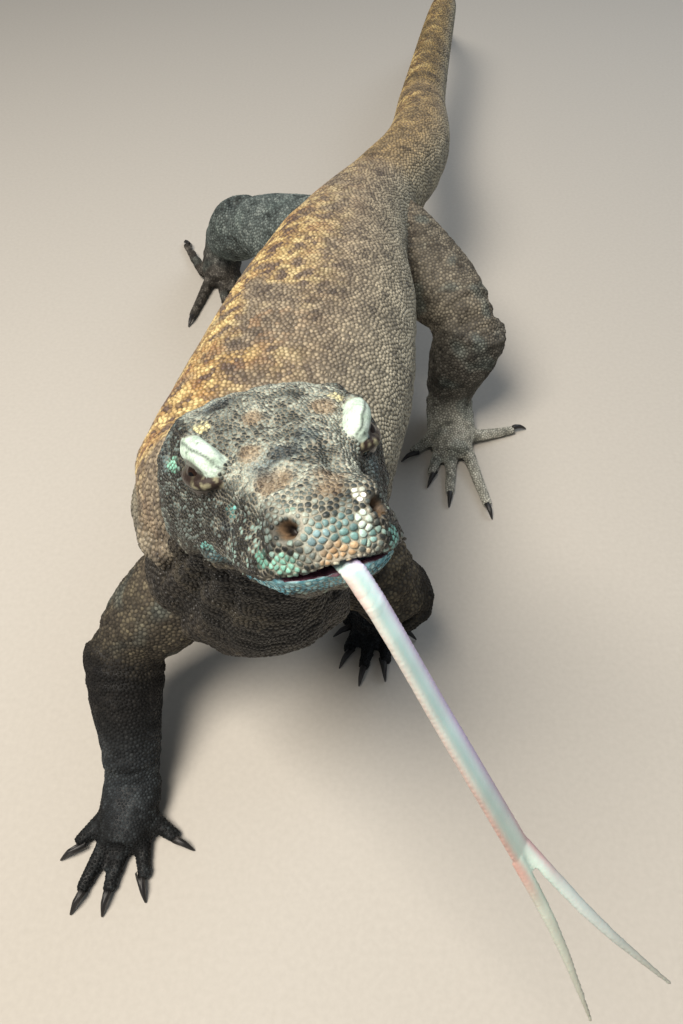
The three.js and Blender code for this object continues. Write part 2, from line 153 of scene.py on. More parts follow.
# %% Making a Blender object
def piece_from(name, points, faces):
    """A smooth-shaded Blender object from points and faces of one size."""
    mesh = bpy.data.meshes.new(name)
    mesh.vertices.add(len(points))
    mesh.vertices.foreach_set("co", np.ascontiguousarray(points, np.float32).ravel())
    mesh.loops.add(faces.size)
    mesh.loops.foreach_set("vertex_index", np.ascontiguousarray(faces, np.int32).ravel())
    mesh.polygons.add(len(faces))
    mesh.polygons.foreach_set("loop_start", np.arange(0, faces.size, faces.shape[1], dtype=np.int32))
    mesh.update(calc_edges=True)
    mesh.shade_smooth()
    made = bpy.data.objects.new(name, mesh)
    bpy.context.scene.collection.objects.link(made)
    return made

# %% The frame's solids as arrays
CLAWS = sorted(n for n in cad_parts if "claw" in n)
EYES = ["eye_left", "eye_right"]
FLESH = sorted(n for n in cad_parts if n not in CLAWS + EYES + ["tongue"])
solids = {n: welded(*arrays_of(o.data)) for n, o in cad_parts.items()}
print("flesh:", len(FLESH), "nodes;", len(CLAWS), "claws")

# %% [markdown]
# ## The head's own directions
# The head is turned and raised, so its details are set out in its own directions: left, forward
# and up, in millimetres, from a point midway between the eyes. The eyes give the point and the
# left direction; the head is raised 33.1 degrees.

# %% The head's frame
HEAD_RAISED = math.radians(33.1)
EYE_BELOW = 4 * MM  # the eyes' centres lie this far under the frame's origin

eye_centres = {n: np.array(sum(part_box(n), Vector())) / 2 for n in EYES}
left = unit(eye_centres["eye_left"] - eye_centres["eye_right"])
ahead = np.array([left[1], -left[0], 0])
forward = ahead * math.cos(HEAD_RAISED) + np.array([0, 0, math.sin(HEAD_RAISED)])
upward = -np.cross(left, forward)
head_axes = np.array([left, forward, upward])
head_origin = sum(eye_centres.values()) / 2 + upward * EYE_BELOW


def to_head(points):
    """Points in the head's frame, in millimetres: left, forward, up."""
    return (points - head_origin) @ head_axes.T / MM


def from_head(places):
    """Places in the head's frame back among the rest."""
    return np.asarray(places) * MM @ head_axes + head_origin


def mirrored(place):
    """Places in the head's frame, with those on the right moved over to the left."""
    return np.column_stack([np.abs(place[:, 0]), place[:, 1:]])


print("head frame: forward", np.round(forward, 3), "up", np.round(upward, 3))

# %% [markdown]
# ## One skin over all the flesh
# The solids meet with hair-thin gaps. A voxel remesh fills space with tiny cubes and skins the
# filled ones, so parts that touch melt into one surface. Each solid is first swollen by a hair,
# so that they do touch. The head and neck get small voxels and the rest of the body larger
# ones, or the mesh would be far too heavy.

# %% Smoothing and remeshing
SWELL = 0.4 * MM


def joined(parts):
    """Several surfaces as one pair of arrays."""
    starts = np.cumsum([0] + [len(p) for p, _ in parts[:-1]])
    points = np.concatenate([p for p, _ in parts])
    return points, np.concatenate([t + s for (_, t), s in zip(parts, starts)])


def remeshed(parts, voxel):
    """One closed surface round all the parts, from cubes of the given size."""
    source = piece_from("remesh_source", *joined(parts))
    melt = source.modifiers.new("Melt", "REMESH")
    melt.mode = "VOXEL"
    melt.voxel_size = voxel
    result = source.evaluated_get(bpy.context.evaluated_depsgraph_get())
    arrays = arrays_of(result.to_mesh())
    result.to_mesh_clear()
    bpy.data.objects.remove(source)
    return arrays

# %% Averaging over neighbours
def edges_of(triangles):
    """Every edge once, as pairs of point numbers."""
    pairs = np.concatenate([triangles[:, [0, 1]], triangles[:, [1, 2]], triangles[:, [2, 0]]])
    pairs = np.sort(pairs, axis=1).astype(np.int64)
    code = np.unique(pairs[:, 0] * (pairs.max() + 1) + pairs[:, 1])
    return np.stack([code // (pairs.max() + 1), code % (pairs.max() + 1)], axis=1)


def averaged(values, edges, rounds, strength=0.6):
    """Values drawn toward the mean of their neighbours; strength may differ from point to point."""
    one, two = edges.T
    count = len(values)
    degree = np.maximum(np.bincount(one, minlength=count) + np.bincount(two, minlength=count), 1)
    columns = values.reshape(count, -1).copy()
    strength = np.broadcast_to(strength, (count,))
    for _ in range(rounds):
        for k in range(columns.shape[1]):
            column = columns[:, k]
            total = np.bincount(one, column[two], count) + np.bincount(two, column[one], count)
            columns[:, k] = column + strength * (total / degree - column)
    return columns.reshape(values.shape)


def smoothed(points, triangles, rounds, strength=0.6):
    """Softens facets, then swells the surface back to its old fullness."""
    edges = edges_of(triangles)
    soft = averaged(points, edges, rounds, strength)
    outward = normals_of(soft, triangles)
    lost = averaged(((points - soft) * outward).sum(1), edges, rounds, 0.6)
    return soft + outward * lost[:, None]

# %% [markdown]
# Each point of the skin is named after the solid nearest to it. The names say how much to
# smooth: a broad back loses its facets, while thin toes keep their shape.

# %% Naming points after the nearest solid
def nearest_node(points, names):
    """For each point, the place in names of the solid nearest to it."""
    tree_points, tree_faces = joined([solids[n] for n in names])
    owner = np.concatenate([np.full(len(solids[n][1]), i) for i, n in enumerate(names)])
    tree = BVHTree.FromPolygons(tree_points.tolist(), tree_faces.tolist())
    return owner[[tree.find_nearest(p)[2] for p in points.tolist()]]


SOFTNESS = {
    "head": 0.2, "lower_jaw": 0.2, "neck": 0.6, "trunk": 0.6, "tail_base": 0.6, "tail_middle": 0.5,
    "tail_tip": 0.3, "upper_arm": 0.4, "forearm": 0.3, "thigh": 0.5, "shin": 0.35,
    "front_foot": 0.08, "hind_foot": 0.08,
}


def kind_of(name):
    """A node's name without its side."""
    return name.removesuffix("_left").removesuffix("_right")

# %% The coarse skin of the whole body
BODY_VOXEL = 3.6 * MM
SCALE_DEPTH = 1.2 * MM  # how far the skin lies inside the solids, for the scales to stand in
swollen = {}
for name in FLESH:
    points, triangles = solids[name]
    swollen[name] = (points + normals_of(points, triangles) * SWELL, triangles)

body, body_faces = remeshed([swollen[n] for n in FLESH], BODY_VOXEL)
body_label = nearest_node(body, FLESH)
softness = np.array([SOFTNESS[kind_of(n)] for n in FLESH])[body_label]
body = smoothed(body, body_faces, 16, softness)
body -= normals_of(body, body_faces) * (SWELL + SCALE_DEPTH)
print("body skin:", len(body), "points")

# %% [markdown]
# ## Eyelids as rolls of skin
# A monitor's upper lid is a thick smooth roll that overhangs the eye like a visor, and the lower
# lid a thinner one. Both are easiest to make as tapering tubes bent round the eyeball, added to
# the head before it is melted into one skin, so that they grow out of it without an edge.

# %% Where the lids run
HEAD_VOXEL = 1.25 * MM
HEAD_DEPTH = 0.9 * MM
EYE_AXIS = {"eye_left": (0.74, 0.54, 0.40), "eye_right": (-0.74, 0.54, 0.40)}

# stations: forward along the lid, up, out from the eye's centre, radius, all in millimetres
UPPER_LID = [(-23, 5.6, -8, 4.2), (-17.5, 7, -2.4, 5.8), (-10, 8, 3, 6.6), (-3, 8.1, 5.5, 6.8),
             (3.5, 7.5, 6, 6.6), (9, 5.9, 4.8, 6), (13.5, 4, 0.8, 4.8)]
LOWER_LID = [(-15, -1, -3, 2.6), (-11, -3.2, 2, 3), (-5, -4.5, 5.6, 3.4), (2, -4.9, 7, 3.5),
             (8, -3.5, 6.8, 3.4), (13, -0.6, 4.4, 3.2), (15.5, 2.2, 1.5, 2.7)]
ORBIT_RADIUS = 13.4  # the swelling of the head that holds the eye
ORBIT_SUNK = 4.2

# %% Lines and tubes
def smooth_line(stations, count):
    """Points spaced along a smooth curve through the stations (Catmull-Rom)."""
    s = np.asarray(stations, float)
    s = np.concatenate([[2 * s[0] - s[1]], s, [2 * s[-1] - s[-2]]])
    place = np.linspace(0, len(s) - 3 - 1e-9, count)
    i, t = place.astype(int), (place % 1)[:, None]
    a, b, c, d = s[i], s[i + 1], s[i + 2], s[i + 3]
    return 0.5 * (2 * b + (c - a) * t + (2 * a - 5 * b + 4 * c - d) * t**2 + (3 * b - a - 3 * c + d) * t**3)


def tube(line, radii, sides=20):
    """A closed round tube along a line of points."""
    way = unit(np.gradient(line, axis=0))
    side = unit(np.cross(way, way[0] + np.array([0.3, 0.5, 0.8])))
    other = np.cross(way, side)
    turn = np.linspace(0, 2 * math.pi, sides, endpoint=False)
    ring = side[:, None] * np.cos(turn)[None, :, None] + other[:, None] * np.sin(turn)[None, :, None]
    points = (line[:, None] + ring * radii[:, None, None]).reshape(-1, 3)
    points = np.concatenate([points, line[:1], line[-1:]])
    row, col = np.meshgrid(np.arange(len(line) - 1), np.arange(sides), indexing="ij")
    a, b = row * sides + col, row * sides + (col + 1) % sides
    wall = np.concatenate([np.stack([a, b, b + sides], -1), np.stack([a, b + sides, a + sides], -1)])
    end = (len(line) - 1) * sides
    k = np.arange(sides)
    first = np.stack([np.full(sides, len(points) - 2), (k + 1) % sides, k], -1)
    last = np.stack([np.full(sides, len(points) - 1), end + k, end + (k + 1) % sides], -1)
    return points, np.concatenate([wall.reshape(-1, 3), first, last])

# %% The lids and the flesh round the eyes
def eye_frame(name):
    """Forward along the lids, up, and out of the head, in the head's frame."""
    out = unit(np.array(EYE_AXIS[name]))
    along_lids = unit(np.array([0, 1, 0]) - out[1] * out)
    lift = np.cross(out, along_lids)
    return np.array([along_lids, lift * np.sign(lift[2]), out])


def lid_path(name, stations):
    """The middle line and the radii of one eyelid."""
    path = smooth_line(stations, 36)
    centre = to_head(eye_centres[name][None])[0]
    return from_head(path[:, :3] @ eye_frame(name) + centre), path[:, 3] * MM


LIDS = {which: [lid_path(n, stations) for n in EYES]
        for which, stations in (("upper", UPPER_LID), ("lower", LOWER_LID))}
lids = [tube(line, radii) for paths in LIDS.values() for line, radii in paths]


def orbit(name):
    """A ball of flesh round the eye, sunk so that only the front of the eye stands out of it."""
    theta = np.linspace(0.02, math.pi - 0.02, 24)
    line = np.outer(np.cos(theta), unit(np.array([1, 0.4, 0.2])))
    middle = to_head(eye_centres[name][None])[0] - eye_frame(name)[2] * ORBIT_SUNK
    return tube(from_head(line * ORBIT_RADIUS + middle), np.sin(theta) * ORBIT_RADIUS * MM, 32)


lids += [orbit(name) for name in EYES]
print("lids:", len(lids), "tubes")

# %% The skin of head and neck
head_parts = [swollen[n] for n in ("head", "lower_jaw", "neck")]
face, face_faces = remeshed(head_parts, HEAD_VOXEL * 1.2)
face = smoothed(face, face_faces, 10, 0.5)
face -= normals_of(face, face_faces) * (SWELL + HEAD_DEPTH)
face, face_faces = remeshed([(face, face_faces), *lids], HEAD_VOXEL)
face = averaged(face, edges_of(face_faces), 2, 0.5)
print("head skin:", len(face), "points")

# %% [markdown]
# ## Joining the fine skin to the coarse one
# Both skins are cut square across the neck, low down where nothing is delicate. The two open
# rims are then bridged by a ring of faces, which makes one closed skin.

# %% Where nodes meet, and the cut across the neck
def meeting(one, two):
    """The middle of the place where two solids touch."""
    tree = tree_over(solids[two][0])
    near = [p for p in solids[one][0].tolist() if tree.find(p)[2] < 6 * MM]
    return np.mean(near, axis=0)


skull_joint, neck_end = meeting("neck", "head"), meeting("neck", "trunk")
cut_way = unit(neck_end - skull_joint)
cut_place = skull_joint + (neck_end - skull_joint) * 0.85
BRIDGE = 5 * MM


def cut_open(name, points, faces, place, keep_above):
    """A bmesh of the part of a surface on one side of the cut."""
    source = piece_from(name, points, faces)
    work = bmesh.new()
    work.from_mesh(source.data)
    bpy.data.objects.remove(source)
    geometry = work.verts[:] + work.edges[:] + work.faces[:]
    bmesh.ops.bisect_plane(work, geom=geometry, plane_co=place, plane_no=cut_way,
                           clear_outer=not keep_above, clear_inner=keep_above)
    return work

# %% One closed skin
whole = cut_open("face_source", face, face_faces, cut_place, False)
rest = cut_open("body_source", body, body_faces, cut_place + cut_way * BRIDGE, True)
rest_mesh = bpy.data.meshes.new("rest")
rest.to_mesh(rest_mesh)
whole.from_mesh(rest_mesh)
rim = [e for e in whole.edges if e.is_boundary]
bmesh.ops.bridge_loops(whole, edges=rim)
bmesh.ops.recalc_face_normals(whole, faces=whole.faces[:])
open_edges = sum(e.is_boundary for e in whole.edges)
skin_mesh = bpy.data.meshes.new("skin_source")
whole.to_mesh(skin_mesh)
whole.free()
skin, skin_faces = arrays_of(skin_mesh)
print("one skin:", len(skin_faces), "triangles, open edges", open_edges)

# %% [markdown]
# ## Knowing where on the body a point is
# Folds, rows of scales and markings all follow the body, not the world's axes. So each point is
# told which solid it belongs to, how far along the spine or limb it lies, and how far round:
# 0 on the back or the front of a leg, positive toward the animal's left.

# %% Lines through the spine and the limbs
label = nearest_node(skin, FLESH)
number = {n: i for i, n in enumerate(FLESH)}
SPINE_NODES = ["neck", "trunk", "tail_base", "tail_middle", "tail_tip"]
LIMBS = {f"{a}_{side}": [f"{a}_{side}", f"{b}_{side}", f"{c}_{side}"]
         for a, b, c in (("upper_arm", "forearm", "front_foot"), ("thigh", "shin", "hind_foot"))
         for side in ("left", "right")}


def centres(name, start, end, count):
    """Middles of slices of the skin's points that belong to a node, from start to end."""
    points = skin[label == number[name]]
    place = (points - start) @ unit(end - start) / np.linalg.norm(end - start)
    bins = np.clip((place * count).astype(int), 0, count - 1)
    return [points[bins == k].mean(0) for k in range(count) if (bins == k).sum() > 30]


tail_end = skin[skin[:, 1].argmax()]
stops = [skull_joint] + [meeting(a, b) for a, b in zip(SPINE_NODES, SPINE_NODES[1:])] + [tail_end]
spine_line = [skull_joint]
for name, start, end, count in zip(SPINE_NODES, stops, stops[1:], (4, 12, 8, 9, 9)):
    spine_line += centres(name, start, end, count)
spine_line = np.array(spine_line + [tail_end])
spine_line = smooth_line(averaged(spine_line, links(len(spine_line)), 2, 0.4), 160)
LIMB_STEPS = 59
limb_lines = {}
for first, (a, b, c) in LIMBS.items():
    body_joint, elbow, ankle = meeting(a, "trunk"), meeting(b, a), meeting(c, b)
    foot_points = solids[c][0]
    toe = foot_points[foot_points[:, 2] < 30 * MM].mean(0)
    beyond = toe + (toe - ankle) * [0.6, 0.6, 0]
    stops = [body_joint, (body_joint + elbow) / 2, elbow, (elbow + ankle) / 2, ankle, toe, beyond]
    limb_lines[first] = smooth_line(stops, LIMB_STEPS + 1)

# %% Where on the body a point is
def along(points, line, front):
    """Distance along a line, angle round it, and the way the line runs, at each point."""
    tree = tree_over(line)
    near = np.array([tree.find(p)[1] for p in points.tolist()])
    out = points - line[near]
    way = unit(np.gradient(line, axis=0))[near]
    slide = (out * way).sum(1)
    out = out - way * slide[:, None]
    top = unit(front - way * (way @ front)[:, None])
    side = np.cross(way, top)
    angle = np.degrees(np.arctan2((out * side).sum(1), (out * top).sum(1)))
    return walked(line)[near] + slide, angle, way


UP = np.array([0, 0, 1.0])
AHEAD = np.array([0, -1.0, 0])
GROUPS = {"head": ["head", "lower_jaw"], "spine": SPINE_NODES, **LIMBS}


def body_place(points, labels):
    """For each point: group number, distance along, angle round, and direction along."""
    group = np.zeros(len(points), int)
    length, angle = np.zeros(len(points)), np.zeros(len(points))
    way = np.tile(forward, (len(points), 1))
    for k, (name, members) in enumerate(GROUPS.items()):
        mine = np.isin(labels, [number[n] for n in members])
        group[mine] = k
        if name == "head":
            place = to_head(points[mine])
            length[mine] = place[:, 1] * MM
            angle[mine] = np.degrees(np.arctan2(place[:, 0], place[:, 2] + 25))
        elif mine.any():
            line, front = (spine_line, UP) if name == "spine" else (limb_lines[name], AHEAD)
            length[mine], angle[mine], way[mine] = along(points[mine], line, front)
    return group, length, angle, way


group, length, angle, way = body_place(skin, label)
print("spine", round(float(length[group == 1].max()), 2), "m long")

# %% [markdown]
# ## Folds, wrinkles and the face's hollows
# Loose skin hangs in folds at the throat and neck, gathers in rings at the joints and runs in
# soft creases down the flanks. Each kind is a small function of where a point is on the body,
# given as a push outward or inward in millimetres. Smooth noise keeps the folds from being
# as even as a machine's.

# %% Noise and smooth steps
def mottle(points, size, seed=0):
    """Smooth noise from about -1 to 1, with patches of about the given size in metres."""
    return np.array([noise.noise(p) for p in (points / size + seed * 7.31).tolist()]) * 1.8


def step(value, low, high):
    """0 below low, 1 above high, and a smooth rise between."""
    t = np.clip((value - low) / (high - low), 0, 1)
    return t * t * (3 - 2 * t)


def near(place, centre, reach):
    """1 at the centre, falling to about 0.1 at the reach; works with one reach or three."""
    return np.exp(-2.3 * (((place - np.asarray(centre)) / np.asarray(reach)) ** 2).sum(1))


def crease(value, width):
    """A narrow valley where value is 0, as deep as 1."""
    return np.exp(-((value / width) ** 2))

# %% Folds of the body
place = to_head(skin)
wander = mottle(skin, 60 * MM, 1)
fine_wander = mottle(skin, 18 * MM, 2)
push = np.zeros(len(skin))  # millimetres, outward

spine_side = group == 1
neck_run = step(length, -0.01, 0.04) * (1 - step(length, 0.26, 0.38)) * spine_side
under = step(np.abs(angle), 70, 110)
# painted shade: darker in a crescent just behind the jaw and deeper in each neck crease
painted_fold_shade = 1 - 0.6 * neck_run * step(np.abs(angle), 44, 70) * (1 - step(length, 0.03, 0.075))
for valley, depth in ((82, 6.0), (104, 10.5), (128, 7.5), (150, 3.0)):
    lean = valley + 9 * wander + (length - 0.1) * 60
    push -= neck_run * depth * crease(np.abs(angle) - lean, 5.5) * (0.75 + 0.35 * fine_wander)
    push += neck_run * 0.5 * depth * crease(np.abs(angle) - lean - 9, 7)
    painted_fold_shade *= 1 - 0.075 * depth * neck_run * crease(np.abs(angle) - lean, 4.5)
rings = np.sin(2 * math.pi * (length / 0.021 + 0.5 * wander + 0.2 * fine_wander))
push += neck_run * (0.5 + 0.7 * under) * rings
flank = spine_side * step(length, 0.22, 0.34) * (1 - step(length, 0.95, 1.1))
push += flank * step(np.abs(angle), 60, 100) * 1.1 * np.sin(2 * math.pi * (length / 0.034 + 0.9 * wander))
push -= flank * 3.0 * crease(np.abs(angle) - 118 - 6 * wander, 7)
push += flank * 1.2 * mottle(skin, 0.09, 3)
tail = spine_side * step(length, 0.95, 1.1)
push += tail * 0.35 * np.sin(2 * math.pi * length / 0.0125)

# %% Folds of the limbs
for name, line in limb_lines.items():
    limb = group == list(GROUPS).index(name)
    knee, ankle = walked(line)[[int(LIMB_STEPS * 2 / 6), int(LIMB_STEPS * 4 / 6)]]
    for joint, reach, depth in ((knee, 0.05, 1.9), (ankle, 0.035, 1.3), (0.01, 0.05, 1.4)):
        wave = np.sin(2 * math.pi * ((length - joint) / 0.0165 + 0.45 * wander + 0.15 * fine_wander))
        push += limb * depth * crease(length - joint, reach) * wave
    push += limb * (1 - step(length, ankle - 0.03, ankle)) * 1.2 * wander
print("body folds from", round(push.min(), 1), "to", round(push.max(), 1), "mm")

# %% Hollows and ridges of the head
# forward and height of the mouth's line, in millimetres
LIP_LINE = [(-120, -150), (-76, -80), (-60, -50), (-46, -43.5), (-10, -43), (30, -40.5),
            (60, -37.5), (80, -34), (92, -31)]
SKIN_OVER_FLOOR = 0.6 * MM


def lip_height(forward_mm):
    """Height of the mouth's line at a distance forward."""
    return np.interp(forward_mm, *np.array(LIP_LINE).T)


def near_line(place, start, end, reach):
    """1 on the line between two places, falling to about 0.1 at the reach."""
    start, end = np.asarray(start, float), np.asarray(end, float)
    t = np.clip((place - start) @ (end - start) / ((end - start) @ (end - start)), 0, 1)
    return np.exp(-2.3 * (np.linalg.norm(place - start - t[:, None] * (end - start), axis=1) / reach) ** 2)


NOSTRILS = ((-18.0, 81.5, -14.0), (21.0, 79.0, -15.5))
NOSTRIL_REACH, RIM_REACH = (7.4, 8.6, 6.8), (12, 13, 11)
EAR, EAR_REACH = (60.0, -58.0, -20.0), (9, 5.5, 9)
RIDGES = [  # start, end, reach and height, all on the left side; a height below zero is a hollow
    ((36, 20, 0), (22, 68, -7), 5.5, 2.6),  # the edge from brow to nostril
    ((38, 24, -15), (27, 60, -17), 9, -4.2),  # the hollow below that edge
    ((15, 30, 4), (11, 58, -3), 6.5, -2.8),  # the dips beside the snout's middle
    ((43, -16, 12), (33, 12, 8), 6, 2.2),  # the bony brow
    ((47, -22, 10), (44, -50, 14), 6, 2.2),  # the crown's outer edge
]
SWELLINGS = [  # middle, reach and height
    ((0, 78, -10), (12, 14, 10), 1.6),  # the swollen tip of the snout
    ((48, -36, -4), (13, 16, 12), 2.4),  # jaw muscle at the temple
    ((0, 16, 8), (9, 26, 9), -2.4),  # dip along the middle of the brow
]
# %% Pushing the head's skin in and out
is_head = group == 0
mirror = mirrored(place)
pit = step(np.max([near(place, c, NOSTRIL_REACH) for c in NOSTRILS], axis=0), 0.3, 0.75)
raised_rim = np.max([near(place, c, RIM_REACH) for c in NOSTRILS], axis=0) * (1 - pit)
head_push = 2.4 * raised_rim - 8.5 * pit - 5.0 * np.clip(1.6 * near(mirror, EAR, EAR_REACH), 0, 1)
for start, end, reach, height in RIDGES:
    head_push += height * near_line(mirror, start, end, reach)
for middle, reach, height in SWELLINGS:
    head_push += height * near(mirror, middle, reach)
head_push += 1.2 * mottle(skin, 14 * MM, 4) + 0.7 * mottle(skin, 6 * MM, 5)
chin = step(-place[:, 2], 44, 52) * (1 - 0.5 * step(place[:, 1], 20, 60))
head_push += chin * 1.5 * np.sin(2 * math.pi * (place[:, 0] / 15 + 0.3 * wander))
head_push -= 2.2 * crease(place[:, 2] + 53 - 0.12 * place[:, 1], 2.4) * step(60 - place[:, 1], 0, 25)
eye_clear = np.min([np.linalg.norm(skin - eye_centres[n], axis=1) for n in EYES], axis=0)
push = np.where(is_head, head_push * step(eye_clear, 15 * MM, 21 * MM), push)
push = averaged(push, edges_of(skin_faces), 2)

skin = skin + normals_of(skin, skin_faces) * push[:, None] * MM
# %% Drawing the lips together, and the finished skin
below_lip = place[:, 2] - lip_height(place[:, 1])
on_jaw = label == number["lower_jaw"]
outer = step(place[:, 1], -45, -25)
lift = np.interp(place[:, 1], (-30, 20, 50, 72, 86, 94), (1.0, 2.2, 3.4, 3.9, 3.2, 3.0))
lift *= on_jaw * outer * step(below_lip, -16, -7)
drop = -0.9 * (label == number["head"]) * outer * step(-below_lip, -9, -2) * (place[:, 1] < 84)
closing = averaged(lift + drop, edges_of(skin_faces), 3)
skin = skin + upward * (closing * MM)[:, None]
skin[:, 2] = np.maximum(skin[:, 2], SKIN_OVER_FLOOR)
skin_normal = normals_of(skin, skin_faces)
hide = piece_from("hide_skin", skin, skin_faces)
print("head hollows down to", round(-head_push[is_head].min(), 1), "mm")

# %% [markdown]
# ## Setting out the scales
# A monitor's scales are small horny beads that don't overlap. Each needs a place, a size and an
# outline. The size is set first: under 2 mm round the eyes, 2 mm and more on the face, 3 mm and
# more on the feet and 4 to 5 mm on the back. A big male's back has beads of about 6 mm, so those
# are drawn finer than life, since a still model is mostly looked at from close by.
#
# Places are thrown at random, thinned so that none is nearer to another than its size allows,
# then pushed apart a few times. On the spine they are also drawn into rings round the body, as
# the real ones lie. Along the lips they are laid in even rows first, and the rest fill in
# round them.

# %% How large the scales are
SCALE_SIZES = {  # millimetres from one scale's middle to the next
    "head": 2.15, "lower_jaw": 2.3, "neck": 3.5, "trunk": 4.5, "tail_base": 4.7, "tail_middle": 4.8,
    "tail_tip": 4.5, "upper_arm": 4.3, "forearm": 3.9, "front_foot": 3.2, "thigh": 4.5, "shin": 4.2,
    "hind_foot": 3.4,
}
RING_PITCH = 4.1 * MM
LID_SCALE = 1.9
place = to_head(skin)
mirror = mirrored(place)
size = np.array([SCALE_SIZES[kind_of(n)] for n in FLESH])[label]
size = averaged(size, edges_of(skin_faces), 30)
snout = near(mirror, (8, 84, -22), (26, 22, 18)) + near(mirror, (26, 66, -34), (14, 30, 10))
cheek = near(mirror, (46, -4, -22), (22, 34, 24))
size = np.where(is_head, size + 1.35 * np.clip(snout, 0, 1) - 0.2 * cheek, size)
size *= 1 + 0.16 * mottle(skin, 11 * MM, 6) * is_head
lid_zone = 1 - step(eye_clear, 14.5 * MM, 19 * MM)
size = (size * (1 - lid_zone) + LID_SCALE * lid_zone) * MM

# %% Throwing points over the skin
rng = np.random.default_rng(7)
SPARE = 5  # candidates thrown for each scale kept
CLOSEST = 0.78  # how near to each other scales may land, as a share of their size
CLOSEST_TO_LIPS = 0.5

# %% Random points that keep their distance
def scattered(points, faces, pitch, first, first_faces):
    """Random points over a surface, thinned to keep their distance, after the first ones."""
    a, b, c = (points[faces[:, i]] for i in range(3))
    area = np.linalg.norm(np.cross(b - a, c - a), axis=1) / 2
    wanted = area / (0.866 * pitch[faces].mean(1) ** 2)
    count = int(wanted.sum() * SPARE)
    face = rng.choice(len(faces), count, p=wanted / wanted.sum())
    one, two = rng.random(count), rng.random(count)
    fold = one + two > 1
    one[fold], two[fold] = 1 - one[fold], 1 - two[fold]
    weights = np.stack([1 - one - two, one, two], 1)
    thrown = (points[faces[face]] * weights[:, :, None]).sum(1)
    reach = (pitch[faces[face]] * weights).sum(1) * CLOSEST
    thrown, face = np.concatenate([first, thrown]), np.concatenate([first_faces, face])
    reach = np.concatenate([pitch[faces[first_faces]].mean(1) * CLOSEST_TO_LIPS, reach])
    tree = tree_over(thrown)
    taken = np.zeros(len(thrown), bool)
    kept = []
    for i, p in enumerate(thrown.tolist()):
        if taken[i]:
            continue
        kept.append(i)
        taken[[hit[1] for hit in tree.find_range(p, reach[i])]] = True
    kept = np.array(kept)
    return thrown[kept], face[kept], kept < len(first)


def neighbours(points, count):
    """The nearest other points of each point."""
    tree = tree_over(points)
    return np.array([[hit[1] for hit in tree.find_n(p, count + 1)][1:] for p in points.tolist()])


def onto_skin(points):
    """The nearest places on the skin and the triangles they lie on."""
    hits = [skin_tree.find_nearest(p) for p in points.tolist()]
    return np.array([h[0] for h in hits]), np.array([h[2] for h in hits])

# %% Even rows along the lips
def lip_row(above, spacing):
    """Evenly spaced points on the skin at a height above the mouth's line, round the snout."""
    found = []
    for turn in np.radians(np.arange(-128, 128, 0.5)):
        way_in = np.array([-math.sin(turn), -math.cos(turn), 0])
        height = lip_height(80.0) + above
        for _ in range(3):
            start = from_head(np.array([0, 30, height]) - way_in * 120)
            spot = skin_tree.ray_cast(start.tolist(), (way_in @ head_axes).tolist(), 0.2)[0]
            forward_mm = to_head(np.array(spot)[None])[0, 1]
            height = lip_height(forward_mm) + above
        if forward_mm > -30:
            found.append(np.array(spot))
    found = np.array(found)
    far = walked(found)
    marks = np.arange(spacing * MM / 2, far[-1], spacing * MM)
    return np.stack([np.interp(marks, far, found[:, k]) for k in range(3)], axis=1)


skin_tree = BVHTree.FromPolygons(skin.tolist(), skin_faces.tolist())
LIP_ROWS = ((2.8, 4.1), (6.8, 4.3), (-7.6, 2.7), (-10.8, 3.4))  # above the mouth's line, spacing
lip_scales, lip_faces = onto_skin(np.concatenate([lip_row(*row) for row in LIP_ROWS]))
roots, on_face, fixed = scattered(skin, skin_faces, size, lip_scales, lip_faces)
print(len(roots), "scales thrown,", fixed.sum(), "of", len(lip_scales), "laid along the lips")

# %% Pushing them apart and into rings
group_of_face, label_of_face = group[skin_faces[:, 0]], label[skin_faces[:, 0]]
for turn in range(5):
    around = neighbours(roots, 8)
    pitch = size[skin_faces[on_face]].mean(1)
    gap = roots[:, None] - roots[around]
    far = np.linalg.norm(gap, axis=2)
    shove = np.clip(1.12 * pitch[:, None] - far, 0, None) / np.maximum(far, 1e-9)
    roots = roots + 0.28 * (gap * shove[:, :, None]).sum(1) * ~fixed[:, None]
    ringed = (group_of_face[on_face] == 1) & (length[skin_faces[on_face, 0]] > 0.1)
    place_along, _, way_along = along(roots[ringed], spine_line, UP)
    drift = np.round(place_along / RING_PITCH) * RING_PITCH - place_along
    roots[ringed] += way_along * drift[:, None] * 0.7
    roots, on_face = onto_skin(roots)
root_normal = unit(skin_normal[skin_faces[on_face]].sum(1))

# %% Leaving out what would foul the mouth and the eyes
EYE_BARE = 11.6 * MM  # no scale has its root nearer than this to the middle of an eye
root_place = to_head(roots)
root_group = group_of_face[on_face]
blocked = np.zeros(len(roots), bool)
for i in np.flatnonzero((root_group == 0) & (root_place[:, 2] < -22)):
    start = roots[i] + root_normal[i] * 0.6 * MM
    blocked[i] = skin_tree.ray_cast(start.tolist(), root_normal[i].tolist(), 14 * MM)[2] is not None
for name in EYES:
    blocked |= np.linalg.norm(roots - eye_centres[name], axis=1) < EYE_BARE
kept = ~blocked
roots, on_face, root_normal, root_place, root_group = (
    a[kept] for a in (roots, on_face, root_normal, root_place, root_group))
root_size = size[skin_faces[on_face]].mean(1)
root_label = label_of_face[on_face]
root_length, root_angle, root_way = body_place(roots, root_label)[1:]
print(len(roots), "scales;", (root_group == 0).sum(), "on the head")

# %% [markdown]
# ## Making the scales
# A scale's outline is where it meets its neighbours. In each of several directions, the outline
# is as far out as halfway to the nearest neighbour that way, less a little for the groove. Over
# the outline stands a low dome of rings. All scales are worked out at once, as arrays.

# %% Outlines and domes
GROOVE = 0.22 * MM
LEAST_REACH = 0.2 * MM
HORN_OVER_FLOOR = 0.2 * MM


